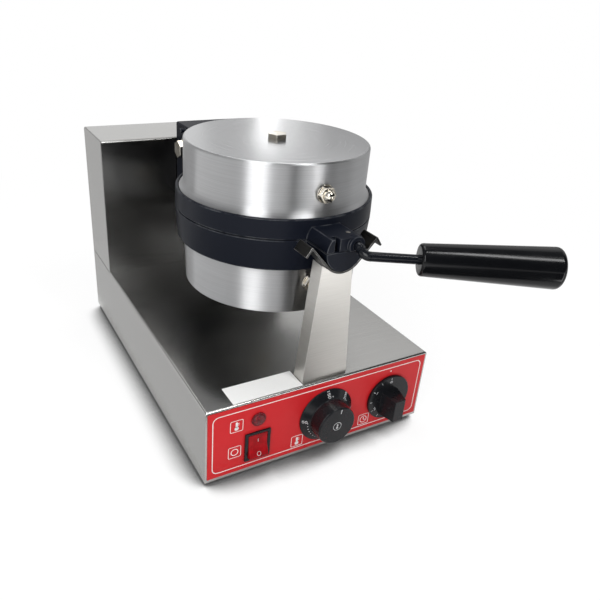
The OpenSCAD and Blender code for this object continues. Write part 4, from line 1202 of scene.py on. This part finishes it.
class WAFFLE_OT_studio(IronOperator):
    """Lay the floor, hang the lamps and place the camera"""

    bl_idname = "waffle.studio"
    bl_label = "Studio"

    def execute(self, context):
        studio = context.scene.iron_studio
        self.floor(studio)
        self.world(context)
        self.cards()
        for *place, power in LAMPS:
            self.lamp(*place, getattr(studio, power))
        self.camera(context, studio)
        context.scene.view_settings.view_transform = "Standard"
        return {"FINISHED"}

    def floor(self, studio):
        """A pale floor that looks white, with a contact shadow painted into its glow by ambient
        occlusion and a faint real shadow on its paper.
        """
        half = studio.floor_size / 2
        shape = bmesh.new()
        for x, y in ((-half, -half), (half, -half), (half, half), (-half, half)):
            shape.verts.new((HEAD.x + x, HEAD.y + y, 0))
        shape.faces.new(shape.verts)
        bmesh.ops.subdivide_edges(shape, edges=shape.edges, cuts=6, use_grid_fill=True)
        floor = new_object("studio_floor", mesh_of(shape, "studio_floor"))
        material = bpy.data.materials.new("Studio floor")
        tree = cleared(material)
        place = place_on_piece(tree)
        mottle = remap(tree, noise(tree, place, scale=1.5, detail=3), 0.84, 0.88)
        paper = add_node(tree, "BsdfDiffuse", {"Color": mottle, "Roughness": 1.0})
        # painted shadow: the glow the camera sees is darkened near the iron by ambient occlusion,
        # and shifted lighter to the right
        near = add_node(
            tree, "AmbientOcclusion", {"Distance": 0.055}, samples=24, only_local=False
        )
        painted_shadow_lean = remap(tree, split(tree, place)["X"], -0.05, 0.08, start=0.03, end=0.12)
        open_sky = maths(tree, "ADD", near.outputs["AO"], painted_shadow_lean)
        shade = remap(tree, open_sky, 0, 1, start=0.445, end=0.69)
        glow = add_node(tree, "Emission", {"Color": WHITE, "Strength": shade})
        ray = add_node(tree, "LightPath").outputs
        seen = maths(tree, "MAXIMUM", ray["Is Camera Ray"], ray["Is Transmission Ray"])
        seen = maths(tree, "MAXIMUM", seen, times(tree, ray["Is Glossy Ray"], 0.45))
        away = vector_maths(tree, "DISTANCE", place, (HEAD.x, HEAD.y, 0))
        full = remap(tree, away, 0.84, 1.0, start=0.40, end=0.90)
        share = maths(tree, "MULTIPLY", seen, full)
        show(tree, mix_shaders(tree, share, paper, glow))
        floor.data.materials.append(material)

    def world(self, context):
        """A white surround for the camera and for reflections, softer as light."""
        world = bpy.data.worlds.new("Studio surround")
        context.scene.world = world
        tree = cleared(world)
        ray = add_node(tree, "LightPath").outputs
        seen = maths(tree, "MAXIMUM", ray["Is Camera Ray"], ray["Is Glossy Ray"])
        seen = maths(tree, "MAXIMUM", seen, ray["Is Transmission Ray"])
        ambient, backdrop = (
            add_node(tree, "Background", {"Color": WHITE, "Strength": strength})
            for strength in (0.55, 1.0)
        )
        show(tree, mix_shaders(tree, seen, ambient, backdrop), "OutputWorld")

    def stage_card(self, name, shape, grey):
        """Links a card that the camera, shadows and plain light don't see."""
        card = new_object(name, mesh_of(shape, name))
        card.visible_camera = card.visible_diffuse = card.visible_shadow = False
        card.visible_transmission = card.visible_volume_scatter = False
        material = bpy.data.materials.new(name)
        tree = cleared(material)
        colour = (grey, grey, grey)
        show(tree, add_node(tree, "Emission", {"Color": colour, "Strength": 1.0}))
        card.data.materials.append(material)

    def round_card(self, name, azimuths, grey, steps, place, levels):
        """A card between two azimuths, with a row of points on each level."""
        shape = bmesh.new()
        rows = [
            [shape.verts.new(place(azimuth, level)) for azimuth in spread(*azimuths, steps)]
            for level in levels
        ]
        for low, high in zip(rows, rows[1:]):
            for j in range(steps):
                shape.faces.new((low[j], low[j + 1], high[j + 1], high[j]))
        self.stage_card(name, shape, grey)

    def flat_card(self, name, grey, corners):
        """A flat card just above the floor."""
        shape = bmesh.new()
        shape.faces.new([shape.verts.new((x, y, 0.002)) for x, y in corners])
        self.stage_card(name, shape, grey)

    def cards(self):
        """Dark, grey and bright cards that only the reflections see."""
        for name, azimuths, elevations, grey in CARDS:
            self.round_card(name, azimuths, grey, 24, on_dome, spread(*elevations, 8))
        for name, azimuths, grey in FLOOR_CARDS:
            self.round_card(name, azimuths, grey, 16, over_floor, FLOOR_CARD_RADII)
        base, back = CAD_BOX[0], CAD_BOX[1].y + 0.9
        side = base.x - 0.006
        outer = side - 0.6
        beside = ((outer, base.y), (side, base.y), (side, back), (outer, back))
        self.flat_card("floor_beside_base", 0.62, beside)
        front = ((-150, -95), (58, -95), (62, -110), (140, -290), (172, -560), (-40, -560))
        before = [(HEAD.x + x * MM, HEAD.y - 124.5 * MM + y * MM) for x, y in front]
        self.flat_card("floor_before_base", 0.03, before)

    def lamp(self, name, azimuth, elevation, distance, width, height, power):
        """A soft box that faces the head."""
        data = bpy.data.lights.new(name, "AREA")
        data.shape = "RECTANGLE"
        data.size, data.size_y = width, height
        data.energy = power
        way = way_out(azimuth, elevation)
        lamp = new_object(name, data)
        lamp.location = SEAM_MIDDLE + way * distance
        lamp.rotation_euler = (-way).to_track_quat("-Z", "Y").to_euler()

    def camera(self, context, studio):
        """The camera, high on the front left."""
        data = bpy.data.cameras.new("studio_camera")
        data.sensor_width = 36
        data.lens = studio.lens
        data.shift_x, data.shift_y = 0.0450, -0.0063
        data.clip_start, data.clip_end = 0.02, 50
        camera = new_object("studio_camera", data)
        camera.location = (-0.194766, -0.414460, 0.426174)
        camera.rotation_euler = (radians(62.2016), radians(-3.4251), radians(-28.5341))
        context.scene.camera = camera


OPERATORS = (
    WAFFLE_OT_case, WAFFLE_OT_saddle, WAFFLE_OT_castings, WAFFLE_OT_drums, WAFFLE_OT_hardware,
    WAFFLE_OT_handle, WAFFLE_OT_dials, WAFFLE_OT_switch, WAFFLE_OT_panel_print,
    WAFFLE_OT_plates, WAFFLE_OT_studio,
)


class WAFFLE_PT_sidebar(Panel):
    """Waffle iron pieces and settings"""

    bl_idname = "WAFFLE_PT_sidebar"
    bl_label = "Waffle Iron"
    bl_space_type = "VIEW_3D"
    bl_region_type = "UI"
    bl_category = "Waffle Iron"

    def draw(self, context):
        scene = context.scene
        for settings in (scene.iron_finish, scene.iron_form, scene.iron_studio):
            column = self.layout.column()
            for name in settings.__annotations__:
                column.prop(settings, name)
        column = self.layout.column(align=True)
        for operator in OPERATORS:
            column.operator(operator.bl_idname)


CLASSES = (IronFinish, IronForm, IronStudio, *OPERATORS, WAFFLE_PT_sidebar)


def register():
    """Registers the classes and the scene's settings."""
    for cls in CLASSES:
        bpy.utils.register_class(cls)
    bpy.types.Scene.iron_finish = PointerProperty(type=IronFinish)
    bpy.types.Scene.iron_form = PointerProperty(type=IronForm)
    bpy.types.Scene.iron_studio = PointerProperty(type=IronStudio)


def unregister():
    """Takes the settings and the classes away again."""
    for name in ("iron_finish", "iron_form", "iron_studio"):
        delattr(bpy.types.Scene, name)
    for cls in reversed(CLASSES):
        bpy.utils.unregister_class(cls)


def main():
    """Builds every piece and the studio."""
    register()
    for operator in OPERATORS:
        group, name = operator.bl_idname.split(".")
        getattr(getattr(bpy.ops, group), name)()


if __name__ == "__main__":
    main()
